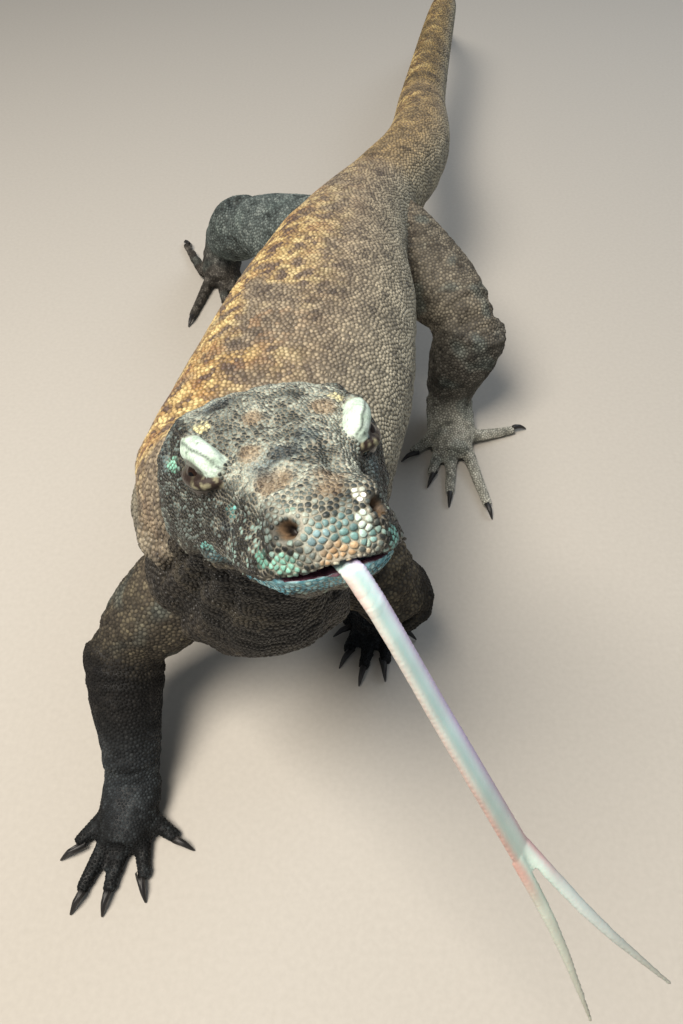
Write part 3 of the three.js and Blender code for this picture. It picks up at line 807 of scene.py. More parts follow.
def scale_outlines(sides, chosen):
    """How far each chosen scale reaches in each direction, and its flat directions."""
    normal = root_normal[chosen]
    along_body = unit(root_way[chosen] - normal * (root_way[chosen] * normal).sum(1)[:, None])
    across = np.cross(normal, along_body)
    offset = roots[all_around[chosen]] - roots[chosen][:, None]
    x = (offset * along_body[:, None]).sum(2)
    y = (offset * across[:, None]).sum(2)
    far, bearing = np.hypot(x, y), np.arctan2(y, x)
    share = root_size[chosen][:, None] / (root_size[chosen][:, None] + root_size[all_around[chosen]])
    first = bearing[:, 0] + math.pi / sides
    bearings = first[:, None] + np.arange(sides) * 2 * math.pi / sides
    facing = np.cos(bearings[:, :, None] - bearing[:, None, :])
    reach = np.where(facing > 0.12, (far * share)[:, None, :] / np.maximum(facing, 0.12), 1)
    reach = np.minimum(reach.min(2) * 1.05, 0.85 * root_size[chosen][:, None])
    return np.maximum(reach - GROOVE, LEAST_REACH), bearings, along_body, across, normal

# %% Domes over the outlines
def scales(name, chosen, sides, rings, height):
    """One mesh of many scales. rings: how far in and how high each ring of points stands."""
    reach, bearings, along_body, across, normal = scale_outlines(sides, chosen)
    level = height * root_size[chosen]
    middle = roots[chosen]
    layers = []
    for inward, up in rings:
        spread = reach * inward
        spot = (middle[:, None] + along_body[:, None] * (np.cos(bearings) * spread)[:, :, None]
                + across[:, None] * (np.sin(bearings) * spread)[:, :, None]
                + normal[:, None] * (level * up - 0.25 * MM * (up <= 0))[:, None, None])
        layers.append(spot)
    crown = middle + normal * level[:, None]
    points = np.concatenate([*layers, crown[:, None]], axis=1)
    points[:, :, 2] = np.maximum(points[:, :, 2], HORN_OVER_FLOOR)
    per = sides * len(rings) + 1
    faces = []
    k = np.arange(sides)
    after = (k + 1) % sides
    for r in range(len(rings) - 1):
        a, b, c, d = r * sides + k, r * sides + after, (r + 1) * sides + after, (r + 1) * sides + k
        faces += [np.stack([a, b, c], 1), np.stack([a, c, d], 1)]
    top = (len(rings) - 1) * sides
    faces.append(np.stack([top + k, top + after, np.full(sides, per - 1)], 1))
    faces = np.concatenate(faces)[None] + (np.arange(len(chosen)) * per)[:, None, None]
    return piece_from(name, points.reshape(-1, 3), faces.reshape(-1, 3))


all_around = neighbours(roots, 11)
print("outlines ready")

# %% [markdown]
# ## Markings
# A monitor's colours sit in its scales: each is one colour with a rim of another. One function
# gives the colour and the rim for any point of the body, and the skin and the scales both ask
# it, so that they always agree. It works from where on the body the point is, with smooth
# noise for the mottling and a few named patches on the face.

# %% Mixing colours
def mixed(one, two, weight):
    """From one colour to another by weight, for many points at once."""
    weight = np.clip(weight, 0, 1)[:, None]
    return one * (1 - weight) + two * weight


def tinted(tone, dark, middle, light):
    """A colour for each tone from 0 to 1, through three colours."""
    return mixed(mixed(dark, middle, tone * 2), light, tone * 2 - 1)


def shades(tone, *codes):
    """The same through three named colours."""
    return tinted(tone, *(np.array([linear(code)]) for code in codes))


def flat(code, like):
    """One colour for every point."""
    return np.tile(linear(code), (len(like), 1))

# %% The colours of each region
REGION_SHADES = {  # dark, middle and light
    "head": ("#1f2829", "#626c68", "#a7b0a3"), "lower_jaw": ("#26231f", "#575146", "#8d8570"),
    "neck": ("#2b2a23", "#5a584c", "#8c8a77"), "trunk": ("#564c43", "#8a7d6a", "#b8a98f"),
    "tail_base": ("#564a38", "#8d7b5d", "#b59c70"), "tail_middle": ("#4f4433", "#85724f", "#b1965f"),
    "tail_tip": ("#453b2d", "#75654a", "#a08a5c"), "upper_arm": ("#282520", "#4a443a", "#716956"),
    # the forearms' near-black is partly their own dark hide and partly painted shade
    "forearm": ("#060505", "#0e0d0c", "#242220"), "front_foot": ("#070808", "#121415", "#34393b"),
    "thigh": ("#3f3a32", "#6d675b", "#948c7b"), "shin": ("#2a2823", "#504d46", "#7e7b72"),
    "hind_foot": ("#6c6c64", "#b4b3a6", "#d5d4c7"),
}
SIDE_SHADES = {  # the right hind leg is bluer and its foot darker than the left one
    "thigh_right": ("#2f3534", "#5f6967", "#8d9691"), "shin_right": ("#2b302f", "#525b59", "#7f8884"),
    "hind_foot_right": ("#1d1b18", "#45413b", "#77726a"),
}
FACE_PATCHES = [  # middle and reach in the head's frame, colour and strength
    ((-34, 26, -17), (5, 7, 5), "#6cb3ad", 0.9), ((36, 24, -17), (6, 7, 5), "#5aa3a0", 0.6),
    ((-53, -25, -3), (7, 8, 6), "#85c4ac", 0.9), ((-47, 1, -41), (7, 12, 4), "#5fa09a", 0.8),
    ((-36, -21, 14), (8, 8, 6), "#d6cf9b", 0.95), ((37, -20, 14), (8, 8, 6), "#cfc795", 0.8),
    ((0, 87, -17), (19, 9, 8), "#6f9494", 0.75), ((8, 88, -22), (11, 8, 6), "#7fb0ac", 0.7),
    ((14, 80, -8), (5, 9, 5), "#e6efdf", 0.95), ((13, 87, -17), (5, 7, 7), "#d3e6da", 0.9),
    ((-8, 87, -20), (7, 6, 5), "#86a9b4", 0.5), ((0, 92, -27), (15, 10, 8), "#ad8d68", 0.9),
    ((-23, 83, -29), (8, 9, 7), "#84bdab", 0.85), ((-30, 72, -27), (6, 8, 6), "#74b3a0", 0.6),
    ((26, 80, -29), (8, 9, 7), "#76b5ac", 0.6), ((-40, 42, -30), (5, 10, 5), "#4f8781", 0.35),
    ((-13, 74, -10), (6, 6, 4), "#86c6b4", 0.5), ((22, 76, -20), (4, 5, 5), "#a88350", 0.5),
]
# %% The palette at each point of the skin
palette = [SIDE_SHADES.get(n, REGION_SHADES[kind_of(n)]) for n in FLESH]
palette = np.array([np.concatenate([linear(code) for code in codes]) for codes in palette])[label]
palette = averaged(palette, edges_of(skin_faces), 30, 0.9)  # so that regions run into each other
# middle and reach of the dusty brown and the dusky blue parts of the crown
DUSTY = [((-15, 50, -2), (14, 16, 12)), ((9, 60, -3), (16, 16, 10)), ((-19, 19, 6), (10, 12, 10)),
         ((4, 74, -6), (12, 8, 8)), ((25, -10, 12), (12, 16, 10)), ((-10, -10, 14), (10, 12, 10))]
DARK = [((-21, -36, 20), (16, 14, 12)), ((10, 20, 8), (14, 16, 10)), ((-2, 32, 4), (12, 10, 10)),
        ((-12, 70, -16), (9, 12, 10)), ((-40, 30, -24), (12, 20, 12))]

# %% Markings of the body and the legs
def body_markings(colour, points, kinds, spine, length, angle, tone, noises):
    """Gold on the right of the back, partly painted warm light, grey flanks, bands on the tail and a throat
    darkened partly as painted shade.
    """
    large, medium, small = noises
    right = step(-angle, -35, 45)
    trunk = spine * step(length, 0.12, 0.3)
    # the gold patches are partly the scales' own colour and partly painted warm light on the right side of
    # the back
    gold_and_painted_light = trunk * right * step(large + 0.7 * medium + 0.5 * right, -0.5, 0.7)
    gold_and_painted_light *= 1 - step(np.abs(angle), 62, 92) * (1 - step(length, 0.55, 0.8))
    gold_and_painted_light *= step(length, 0.15, 0.24)
    gold_and_painted_light *= 1 - 0.7 * step(length, 0.6, 0.85) + 0.5 * step(length, 1.02, 1.2)
    gold_tone = 0.45 + 1.2 * (tone - 0.5) + 0.6 * mottle(points, 15 * MM, 24)
    colour = mixed(colour, shades(gold_tone, "#665248", "#ba985f", "#f2da98"), 0.85 * gold_and_painted_light)
    rust = trunk * right * step(mottle(points, 35 * MM, 15) + 0.5 * small, 0.3, 0.8)
    colour = mixed(colour, flat("#b98148", points), 0.3 * rust * (1 - step(length, 0.7, 1.0)))
    right_flank = step(-angle, 70, 95) * (1 - step(length, 0.5, 0.8))
    grey = trunk * np.maximum(step(angle, 10, 75), right_flank)
    colour = mixed(colour, shades(tone, "#64645a", "#989787", "#b8b7a6"), 0.75 * grey)
    wave = np.sin(2 * math.pi * length / 0.095 + large)
    bands = spine * step(length, 1.0, 1.2) * step(wave, -0.2, 0.6)
    colour = mixed(colour, colour * [0.72, 0.72, 0.78], bands * 0.8)
    blotch = (kinds == "neck") * step(medium + 0.6 * small, 0.3, 0.8)
    colour = mixed(colour, flat("#9b9268", points), 0.45 * blotch)
    # painted shade under the neck and the front of the trunk, over their own darker colour
    under = step(np.abs(angle), 46, 76) * (kinds == "neck")
    under += step(np.abs(angle), 85, 112) * (kinds == "trunk")
    throat_and_painted_shade = shades(tone + 0.25 * medium, "#080605", "#130f0c", "#352f26")
    return mixed(colour, throat_and_painted_shade, 0.95 * under * (1 - step(length, 0.3, 0.45)))


def leg_markings(colour, points, kinds, legs, tone, palette):
    """Blue-grey dust on the front feet, and grey patches on all but the darkest skin."""
    instep = 0.45 * np.isin(kinds, ("front_foot", "forearm")) * step(points[:, 2], 0.018, 0.05)
    instep *= 1 - step(points[:, 2], 0.06, 0.12)
    colour = mixed(colour, shades(tone, "#24292c", "#3d4449", "#596165"), instep)
    patches = legs * step(mottle(points, 30 * MM, 16), 0.2, 0.8) * step(palette[:, 4], 0.02, 0.08)
    return mixed(colour, shades(tone, "#3c4746", "#6b7975", "#93a19a"), 0.4 * patches)

# %% Markings of the head
def head_markings(colour, points, kinds, on_head, own, tone, noises):
    """Pale rims round dark scales, nearly black cheeks, patches of colour and blue lips."""
    _, medium, small = noises
    place = to_head(points)
    pale_rim = shades(0.5 + 0.25 * medium + 0.2 * small, "#746f61", "#bbb5a3", "#d8d5c4")
    rim = mixed(colour * 0.42, pale_rim, 0.9 * on_head)
    side = np.abs(place[:, 0]) - 0.25 * place[:, 2] + 0.2 * np.clip(place[:, 1], 0, 80)
    side = on_head * step(side, 32, 42) * (place[:, 1] > -70)
    cheek_tone = tone - 0.1 + 0.5 * (own > 0.88)
    colour = mixed(colour, shades(cheek_tone, "#050608", "#0d1113", "#5c6a67"), 0.95 * side)
    dull = 0.95 * side * step(0.6 * medium - small, -0.8, -0.1)
    rim = mixed(rim * (1 - 0.35 * side[:, None]), rim * 0.2, dull)
    crown = on_head * (place[:, 2] > -28)
    dust = crown * step(sum(near(place, c, r) for c, r in DUSTY) + 0.25 * medium, 0.25, 0.8)
    colour = mixed(colour, shades(tone, "#33291f", "#6e5e4b", "#94836b"), 0.8 * dust)
    rim = mixed(rim, shades(0.5 + 0.5 * small, "#6d5d4a", "#a08d74", "#c6b599"), 0.8 * dust)
    dusk = crown * step(sum(near(place, c, r) for c, r in DARK) + 0.45 * medium, 0.2, 0.6)
    colour = mixed(colour, shades(tone - 0.2, "#070b10", "#192631", "#4f6977"), 0.8 * dusk)
    rim = mixed(rim, shades(0.5 + 0.6 * small, "#1b2328", "#46545a", "#93a19a"), 0.7 * dusk)
    under_jaw = on_head * step(-place[:, 2], 48, 58)
    colour = mixed(colour, shades(tone, "#28231e", "#4c453a", "#766c58"), 0.9 * under_jaw)
    rim = mixed(rim, colour * 0.6, under_jaw)
    for middle, reach, code, strength in FACE_PATCHES:
        weight = near(place, middle, reach)
        ragged = step(weight + 0.3 * (own - 0.5) + 0.2 * small, 0.2, 0.55) * step(weight, 0.08, 0.2)
        patch = flat(code, points) * (0.75 + 0.5 * own[:, None])
        colour = mixed(colour, patch, on_head * strength * ragged)
    lower_lip = on_head * (kinds == "lower_jaw") * step(place[:, 1], -20, 40)
    lower_lip *= step(place[:, 2] - lip_height(place[:, 1]), -12, -9)
    colour = mixed(colour, shades(tone + 0.2, "#2c5a68", "#5fb2c6", "#b7e8ec"), 0.92 * lower_lip)
    flecks = on_head * (own > 0.9) * step(-place[:, 2], 14, 24) * step(place[:, 1], 20, 50)
    return mixed(colour, flat("#9fc4b8", points), 0.45 * flecks), rim

# %% The colour of any point of the animal
def markings(points, labels, own, palette):
    """Colour and rim colour of points; own is a number from 0 to 1 that each scale has to itself."""
    group, length, angle, _ = body_place(points, labels)
    kinds = np.array([kind_of(n) for n in FLESH])[labels]
    noises = [mottle(points, size * MM, seed) for size, seed in ((80, 11), (26, 12), (8, 13))]
    on_head = (group == 0).astype(float)
    tone = 0.5 + (0.16 + 0.12 * on_head) * noises[1] + 0.22 * noises[2]
    tone += (0.5 + 0.4 * on_head) * (own - 0.5)
    colour = tinted(tone, palette[:, :3], palette[:, 3:6], palette[:, 6:])
    colour = body_markings(colour, points, kinds, group == 1, length, angle, tone, noises)
    colour = leg_markings(colour, points, kinds, group > 1, tone, palette)
    colour, rim = head_markings(colour, points, kinds, on_head, own, tone, noises)
    return np.clip(colour, 0.002, 0.92), np.clip(rim, 0.002, 0.9)


def store_colour(piece, colours, name="marking"):
    """Puts a colour on every point of a piece, for its material to read."""
    layer = piece.data.color_attributes.new(name, "FLOAT_COLOR", "POINT")
    full = np.concatenate([colours, np.ones((len(colours), 1))], axis=1)
    layer.data.foreach_set("color", full.astype(np.float32).ravel())

# %% [markdown]
# ## Colouring the skin
# Between the scales the skin shows only as grooves, mostly in the rim colour. Three places are
# bare: the lids, white above with one dark wavy groove, and cream mottled with brown below; the
# nostrils, brown at the edge and painted nearly black inside as the shade deep in the pit; and
# the mouth, whose mauve flesh shows between the lips.

# %% How surely a point lies on a lid
def beside_lid(points, which):
    """How surely points lie on an upper or a lower lid, and where round its roll."""
    weight, turn = np.zeros(len(points)), np.zeros(len(points))
    for name, (line, radii) in zip(EYES, LIDS[which]):
        tree = tree_over(line)
        close = np.flatnonzero(np.linalg.norm(points - eye_centres[name], axis=1) < 34 * MM)
        found = [tree.find(p) for p in points[close].tolist()]
        index, far = np.array([f[1] for f in found]), np.array([f[2] for f in found])
        ends = step(index, 1, 5) * (1 - step(index, 31, 35))
        on_roll = (1 - step(far - radii[index], 0.2 * MM, 1.1 * MM)) * ends
        weight[close] = np.maximum(weight[close], on_roll)
        out = (points[close] - line[index]) @ head_axes.T @ eye_frame(name).T
        turn[close] = np.degrees(np.arctan2(out[:, 1], out[:, 2]))
    return weight, turn

# %% Where the skin is bare
upper_lid, lid_turn = beside_lid(skin, "upper")
lower_lid, _ = beside_lid(skin, "lower")
lower_lid *= 1 - step(upper_lid, 0.2, 0.6)
place = to_head(skin)
in_nostril = step(pit, 0.05, 0.3)
in_mouth = np.zeros(len(skin))
for i in np.flatnonzero((group == 0) & (place[:, 2] < -22) & (place[:, 1] > -60)):
    start = skin[i] + skin_normal[i] * 0.6 * MM
    in_mouth[i] = skin_tree.ray_cast(start.tolist(), skin_normal[i].tolist(), 16 * MM)[2] is not None
in_mouth = averaged(in_mouth, edges_of(skin_faces), 1)

# %% The colour of the skin
own = 0.5 + 0.4 * mottle(skin, 3 * MM, 17)
# the painted shade of the neck's folds darkens both the colour and the rim
body_colour, body_rim = (c * painted_fold_shade[:, None] for c in markings(skin, label, own, palette))
skin_colour = mixed(body_rim, body_colour, np.full(len(skin), 0.25)) * 0.8
lip_rim = (label == number["lower_jaw"]) * step(place[:, 2] - lip_height(place[:, 1]), -7, -5)
lip_rim *= step(place[:, 1], 14, 30) * (1 - in_mouth)
skin_colour = mixed(skin_colour, shades(own + 0.2, "#2c5a68", "#6cb8c8", "#b7e8ec"), lip_rim)
lid_groove = crease(lid_turn - 16 - 9 * mottle(skin, 9 * MM, 24), 8) * upper_lid
white = mixed(flat("#d6e8dc", skin), flat("#aec4b2", skin), 0.5 + 0.5 * mottle(skin, 5 * MM, 18))
freckles = step(mottle(skin, 2.6 * MM, 25), 0.75, 1.2) * upper_lid
white = mixed(white, flat("#2c3430", skin), np.maximum(0.9 * lid_groove, 0.7 * freckles))
skin_colour = mixed(skin_colour, white, upper_lid)
cream = mixed(flat("#8f8b70", skin), flat("#2a1e18", skin), step(mottle(skin, 3.4 * MM, 19), -0.6, 0.0))
skin_colour = mixed(skin_colour, cream, lower_lid)
# painted shade: dark brown under the upper lid's roll and on the bare ring round each eyeball
painted_shade_round_eye = np.maximum(step(-lid_turn, 60, 100) * upper_lid, 1 - step(eye_clear, EYE_BARE, 13.2 * MM))
skin_colour = mixed(skin_colour, flat("#2a211c", skin), 0.85 * painted_shade_round_eye)
# the inside of each nostril is painted nearly black as shade
rim_to_painted_shade = step(pit + 0.03 * place[:, 2], 0.1, 0.45)
nostril_skin = mixed(flat("#75604a", skin), flat("#150d09", skin), rim_to_painted_shade)
skin_colour = mixed(skin_colour, nostril_skin, in_nostril)
skin_colour = mixed(skin_colour, flat("#7c5464", skin), in_mouth)
store_colour(hide, skin_colour)
wet = np.maximum.reduce([in_mouth, in_nostril * 0.15, painted_shade_round_eye * 0.8])
store_colour(hide, np.repeat(wet[:, None], 3, axis=1), "wetness")
print("bare places done")

# %% [markdown]
# ## The coat in pieces
# The coat is parted into pieces of under 200,000 triangles, by region. Each piece has a UV map in
# which a scale is a tiny patch at its root's place on the unrolled skin: distance along the body
# one way, angle round it the other. Whoever bakes the colours into a picture later then finds
# neighbours side by side.

# %% Building the coat
UV_PATCH = 0.0015  # half the width of a scale's patch
BEADS = ((1.0, 0.0), (0.74, 0.8))
PLATES = ((1.0, 0.0), (0.9, 0.62), (0.76, 0.95))  # flatter, with a clear rim
root_lid = np.maximum(beside_lid(roots, "upper")[0], beside_lid(roots, "lower")[0])
lip_gap = root_place[:, 2] - lip_height(root_place[:, 1])
on_rim = (root_label == number["lower_jaw"]) & (root_place[:, 1] > 22)
on_rim &= (root_normal @ upward > 0.15) | (lip_gap > -5)
bare = on_rim | (root_lid > 0.5) | (pit[skin_faces[on_face]].mean(1) > 0.12)
root_own = rng.random(len(roots))
# the scales take the palette and the painted fold shade of the skin under them
root_painted_shade, root_palette = (a[skin_faces[on_face]].mean(1) for a in (painted_fold_shade[:, None], palette))
root_colour, root_rim = (c * root_painted_shade for c in markings(roots, root_label, root_own, root_palette))


def unrolled(chosen):
    """Each scale's place on the unrolled region, within the unit square."""
    u = root_length[chosen]
    u = (u - u.min()) / np.ptp(u)
    v = (root_angle[chosen] + 180) / 360
    return 0.01 + 0.98 * np.stack([u, v], axis=1)

# %% A piece of the coat
def coat_piece(name, chosen, sides, height, rings=BEADS):
    """A piece of the coat with its colours and its UV map."""
    chosen = np.flatnonzero(chosen & ~bare)
    made = scales(name, chosen, sides, rings, height)
    shade, rim = root_colour[chosen][:, None], root_rim[chosen][:, None]
    inner = [rim] + [rim * (1 - rise) + shade * rise for _, rise in rings[1:]]
    tints = [np.repeat(tint, sides, 1) for tint in inner]
    # the top point of each dome is painted 6% lighter than the scale, a small painted highlight
    store_colour(made, np.concatenate([*tints, 1.06 * shade], axis=1).reshape(-1, 3))
    turn = np.arange(sides) * 2 * math.pi / sides
    disc = np.stack([np.cos(turn), np.sin(turn)], 1)
    patch = UV_PATCH * np.concatenate([inward * disc for inward, _ in rings] + [[[0, 0]]])
    spots = (unrolled(chosen)[:, None] + patch).reshape(-1, 2)
    corners = np.empty(len(made.data.loops), np.int32)
    made.data.loops.foreach_get("vertex_index", corners)
    layer = made.data.uv_layers.new(name="OFBake")
    layer.uv.foreach_set("vector", spots[corners].astype(np.float32).ravel())
    print(name, len(chosen), "scales,", len(made.data.polygons), "triangles")
    return made

# %% All the pieces of the coat
on_skull = root_label == number["head"]
coat = [
    coat_piece("scales_crown_and_snout", on_skull & (root_place[:, 2] > -18), 8, 0.3, PLATES),
    coat_piece("scales_cheeks_and_lips", on_skull & (root_place[:, 2] <= -18), 8, 0.26, PLATES),
    coat_piece("scales_lower_jaw", root_label == number["lower_jaw"], 8, 0.2),
    coat_piece("scales_neck", root_label == number["neck"], 7, 0.26),
]
on_trunk = root_label == number["trunk"]
cuts = [-1, *np.quantile(root_length[on_trunk], (1 / 3, 2 / 3)), 9]
for name, start, end in zip(("scales_shoulders", "scales_back", "scales_loins"), cuts, cuts[1:]):
    coat.append(coat_piece(name, on_trunk & (root_length >= start) & (root_length < end), 6, 0.25))
for name in ("tail_base", "tail_middle", "tail_tip"):
    coat.append(coat_piece("scales_" + name, root_label == number[name], 6, 0.24))
for k, name in list(enumerate(GROUPS))[2:]:
    leg = name.replace("upper_arm", "front_leg").replace("thigh", "hind_leg")
    coat.append(coat_piece("scales_" + leg, root_group == k, 6, 0.18))
print("coat:", sum(len(o.data.polygons) for o in coat), "triangles in", len(coat), "pieces")

# %% [markdown]
# ## Keratin and living skin
# The scales are keratin, the stuff of finger nails: a dry satin surface with a faint grain, an
# index of refraction of about 1.54 and a sheen that dust dulls in patches. The skin between them
# is softer and rougher, and wet only in the mouth, the nostrils and along the lids.

# %% The material of scales and skin
def hide_material(name, grain_mm, bump_mm, rough_low, rough_high, gloss=0.35, wetness=False):
    """Colour from the markings, broken up by grain, with rough and smooth patches."""
    made, tree, surface = new_material(name)
    spot = add(tree, "TexCoord").outputs["Object"]
    marking = add(tree, "Attribute", attribute_name="marking").outputs["Color"]
    grain = add(tree, "TexNoise", {"Vector": spot, "Scale": 1 / (grain_mm * MM), "Detail": 3.0,
                                   "Roughness": 0.65}).outputs["Fac"]
    light = add(tree, "MapRange", {"Value": grain, "From Min": 0.3, "From Max": 0.7,
                                   "To Min": 0.72, "To Max": 1.25}).outputs["Result"]
    colour = add(tree, "VectorMath", {0: marking, 1: light}, operation="MULTIPLY").outputs["Vector"]
    patches = add(tree, "TexNoise", {"Vector": spot, "Scale": 1 / (9 * MM), "Detail": 2.0}).outputs["Fac"]
    rough = add(tree, "MapRange", {"Value": patches, "From Min": 0.35, "From Max": 0.65,
                                   "To Min": rough_low, "To Max": rough_high}).outputs["Result"]
    if wetness:
        wet = add(tree, "Attribute", attribute_name="wetness").outputs["Fac"]
        rough = add(tree, "MapRange", {"Value": wet, "To Min": rough, "To Max": 0.18}).outputs["Result"]
    bump = add(tree, "Bump", {"Height": grain, "Strength": 0.6, "Distance": bump_mm * MM})
    shader = add(tree, "BsdfPrincipled", {"Base Color": colour, "Roughness": rough, "IOR": 1.54,
                                          "Specular IOR Level": gloss, "Normal": bump.outputs["Normal"]})
    tree.links.new(shader.outputs["BSDF"], surface)
    return made

# %% Dressing the skin and the coat
keratin = hide_material("dry_keratin_scales", 0.9, 0.12, 0.36, 0.58)
living_skin = hide_material("soft_reptile_skin", 1.3, 0.25, 0.55, 0.75, wetness=True)
hide.data.materials.append(living_skin)
dusty_keratin = hide_material("dusty_leg_scales", 0.9, 0.12, 0.6, 0.8, gloss=0.18)
for piece in coat:
    piece.data.materials.append(dusty_keratin if "leg" in piece.name else keratin)
for piece in [hide, *coat]:
    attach(piece, "root")
    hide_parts(*FLESH)

# %% [markdown]
# ## Eyes
# A monitor's eye is a dark ball with a clear dome, the cornea, standing a little proud of it.
# Under the dome lies a very dark brown iris, a shade lighter close round the black pupil. The
# ball is turned from a profile like a lathe's work, and its rings of colour come from how far a
# point is from the eye's own axis, so the object's Z axis is set along that. It is sunk a little
# deeper than the frame's, since the lids built here are thicker.

# %% Turning the eyeballs
EYE_RADIUS = 10.4 * MM
CORNEA_RISE = 0.9 * MM
EYE_SUNK = 1.4 * MM
LOOK = {"eye_left": (0.80, 0.57, 0.15), "eye_right": (-0.80, 0.57, 0.15)}


def eyeball(name):
    """A ball with a cornea, looking out of the head."""
    steps, sides = 40, 48
    theta = np.linspace(0, math.pi, steps)
    radius = EYE_RADIUS + CORNEA_RISE * np.exp(-((theta / 0.52) ** 4))
    turn = np.linspace(0, 2 * math.pi, sides, endpoint=False)
    wall = np.stack([
        (radius * np.sin(theta))[:, None] * np.cos(turn), (radius * np.sin(theta))[:, None] * np.sin(turn),
        np.repeat((radius * np.cos(theta))[:, None], sides, 1)], axis=-1).reshape(-1, 3)
    row, col = np.meshgrid(np.arange(steps - 1), np.arange(sides), indexing="ij")
    a, b = row * sides + col, row * sides + (col + 1) % sides
    quads = np.stack([a, a + sides, b + sides, b], -1).reshape(-1, 4)
    made = piece_from("eyeball_" + name.split("_")[1], wall, quads)
    look = Vector(np.array(LOOK[name]) @ head_axes)
    made.location = eye_centres[name] - np.array(EYE_AXIS[name]) @ head_axes * EYE_SUNK
    made.rotation_mode = "QUATERNION"
    made.rotation_quaternion = look.to_track_quat("Z", "Y")
    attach(made, "root")
    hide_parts(name)
    return made

# %% The eye's rings of colour
wet_eye, tree, surface = new_material("wet_cornea_over_brown_iris")
spot = add(tree, "TexCoord").outputs["Object"]
flat_spot = add(tree, "VectorMath", {0: spot, 1: (1, 1, 0)}, operation="MULTIPLY").outputs["Vector"]
off_axis = add(tree, "VectorMath", {0: flat_spot}, operation="LENGTH").outputs["Value"]
fibres = add(tree, "TexNoise", {"Vector": spot, "Scale": 1 / (0.8 * MM), "Detail": 4.0}).outputs["Fac"]
wobble = add(tree, "Math", {0: fibres, 1: 0.0008, 2: off_axis}, operation="MULTIPLY_ADD").outputs["Value"]
rings = add(tree, "MapRange", {"Value": wobble, "From Max": 11 * MM}).outputs["Result"]
ramp = add(tree, "ValToRGB", {"Fac": rings})
stops_of_iris = ((0.0, "#050404"), (0.24, "#050404"), (0.27, "#2c1c10"), (0.3, "#1d120b"), (0.5, "#1c110b"),
                 (0.58, "#0e0908"), (1.0, "#150e0c"))
band = ramp.color_ramp
while len(band.elements) < len(stops_of_iris):
    band.elements.new(0.5)
for element, (where, code) in zip(band.elements, stops_of_iris):
    element.position, element.color = where, paint(code)
shader = add(tree, "BsdfPrincipled", {"Base Color": ramp.outputs["Color"], "Roughness": 0.08, "IOR": 1.38,
                                      "Coat Weight": 0.2, "Coat Roughness": 0.08})
tree.links.new(shader.outputs["BSDF"], surface)
for name in EYES:
    eyeball(name).data.materials.append(wet_eye)

# %% [markdown]
# ## Claws
# A claw is horn: dark, hard, grooved lengthwise and worn smooth and paler at the tip. The frame's
# claws have the right curve but few faces, so each is subdivided and smoothed. Its root is drawn
# a few millimetres back into the toe, as a real claw sits in its sheath.

# %% Growing the claws
CLAW_ROOT = 3.5 * MM


def fine_copy(name, levels, rounds):
    """A solid with each triangle split several times and its corners eased."""
    points, triangles = solids[name]
    source = piece_from("fine_source", points, triangles)
    split = source.modifiers.new("Split", "SUBSURF")
    split.subdivision_type = "SIMPLE"
    split.levels = levels
    result = source.evaluated_get(bpy.context.evaluated_depsgraph_get())
    points, triangles = arrays_of(result.to_mesh())
    result.to_mesh_clear()
    bpy.data.objects.remove(source)
    return smoothed(points, triangles, rounds, 0.5), triangles

# %% The claws of a foot
def claw_set(foot, names):
    """All the claws of one foot as one piece."""
    parts, colours = [], []
    foot_tree = tree_over(solids[foot][0])
    for name in names:
        points, triangles = fine_copy(name, 2, 7)
        reach = np.array([foot_tree.find(p)[2] for p in points.tolist()])
        tip = points[reach.argmax()]
        base = points[reach < 5 * MM].mean(0) if (reach < 5 * MM).any() else points[reach.argmin()]
        long_way = unit(tip - base)
        out = np.clip((points - base) @ long_way / np.linalg.norm(tip - base), 0, 1)
        points = points - long_way * (CLAW_ROOT * (1 - step(out, 0, 0.35)))[:, None]
        flattened = points - long_way * ((points - base) @ long_way)[:, None]
        streak = 0.5 + 0.5 * mottle(flattened, 1.6 * MM, 21)
        colour = shades(0.1 + 0.3 * streak + 0.35 * step(out, 0.75, 1.0), "#080707", "#1f1c1a", "#564e45")
        parts.append((points, triangles))
        colours.append(colour)
    points, triangles = joined(parts)
    points[:, 2] = np.maximum(points[:, 2], HORN_OVER_FLOOR)
    made = piece_from("claws_" + foot.replace("_foot", ""), points, triangles)
    store_colour(made, np.concatenate(colours))
    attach(made, "root")
    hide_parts(*names)
    return made

# %% Horn
claw_horn, tree, surface = new_material("dark_grooved_horn")
spot = add(tree, "TexCoord").outputs["Object"]
marking = add(tree, "Attribute", attribute_name="marking").outputs["Color"]
grain = add(tree, "TexNoise", {"Vector": spot, "Scale": 1 / (1.1 * MM), "Detail": 4.0}).outputs["Fac"]
rough = add(tree, "MapRange", {"Value": grain, "To Min": 0.42, "To Max": 0.62}).outputs["Result"]
bump = add(tree, "Bump", {"Height": grain, "Strength": 0.5, "Distance": 0.15 * MM}).outputs["Normal"]
shader = add(tree, "BsdfPrincipled", {"Base Color": marking, "Roughness": rough, "IOR": 1.56,
                                      "Normal": bump})
tree.links.new(shader.outputs["BSDF"], surface)
for foot in ("front_foot_left", "front_foot_right", "hind_foot_left", "hind_foot_right"):
    end, side = foot.split("_foot_")
    claw_set(foot, [n for n in CLAWS if n.startswith(f"{end}_{side}_claw")]).data.materials.append(claw_horn)
print("claws done")

# %% [markdown]
# ## The tongue
# The tongue is wet muscle: pale blue down the middle, lilac along one edge, pinkish brown along
# the other, mint further out and greyer in the fork, with one shallow groove along it. Light sinks
# into it a little, which the shader's subsurface setting copies, and it is smooth enough for a
# soft shine.

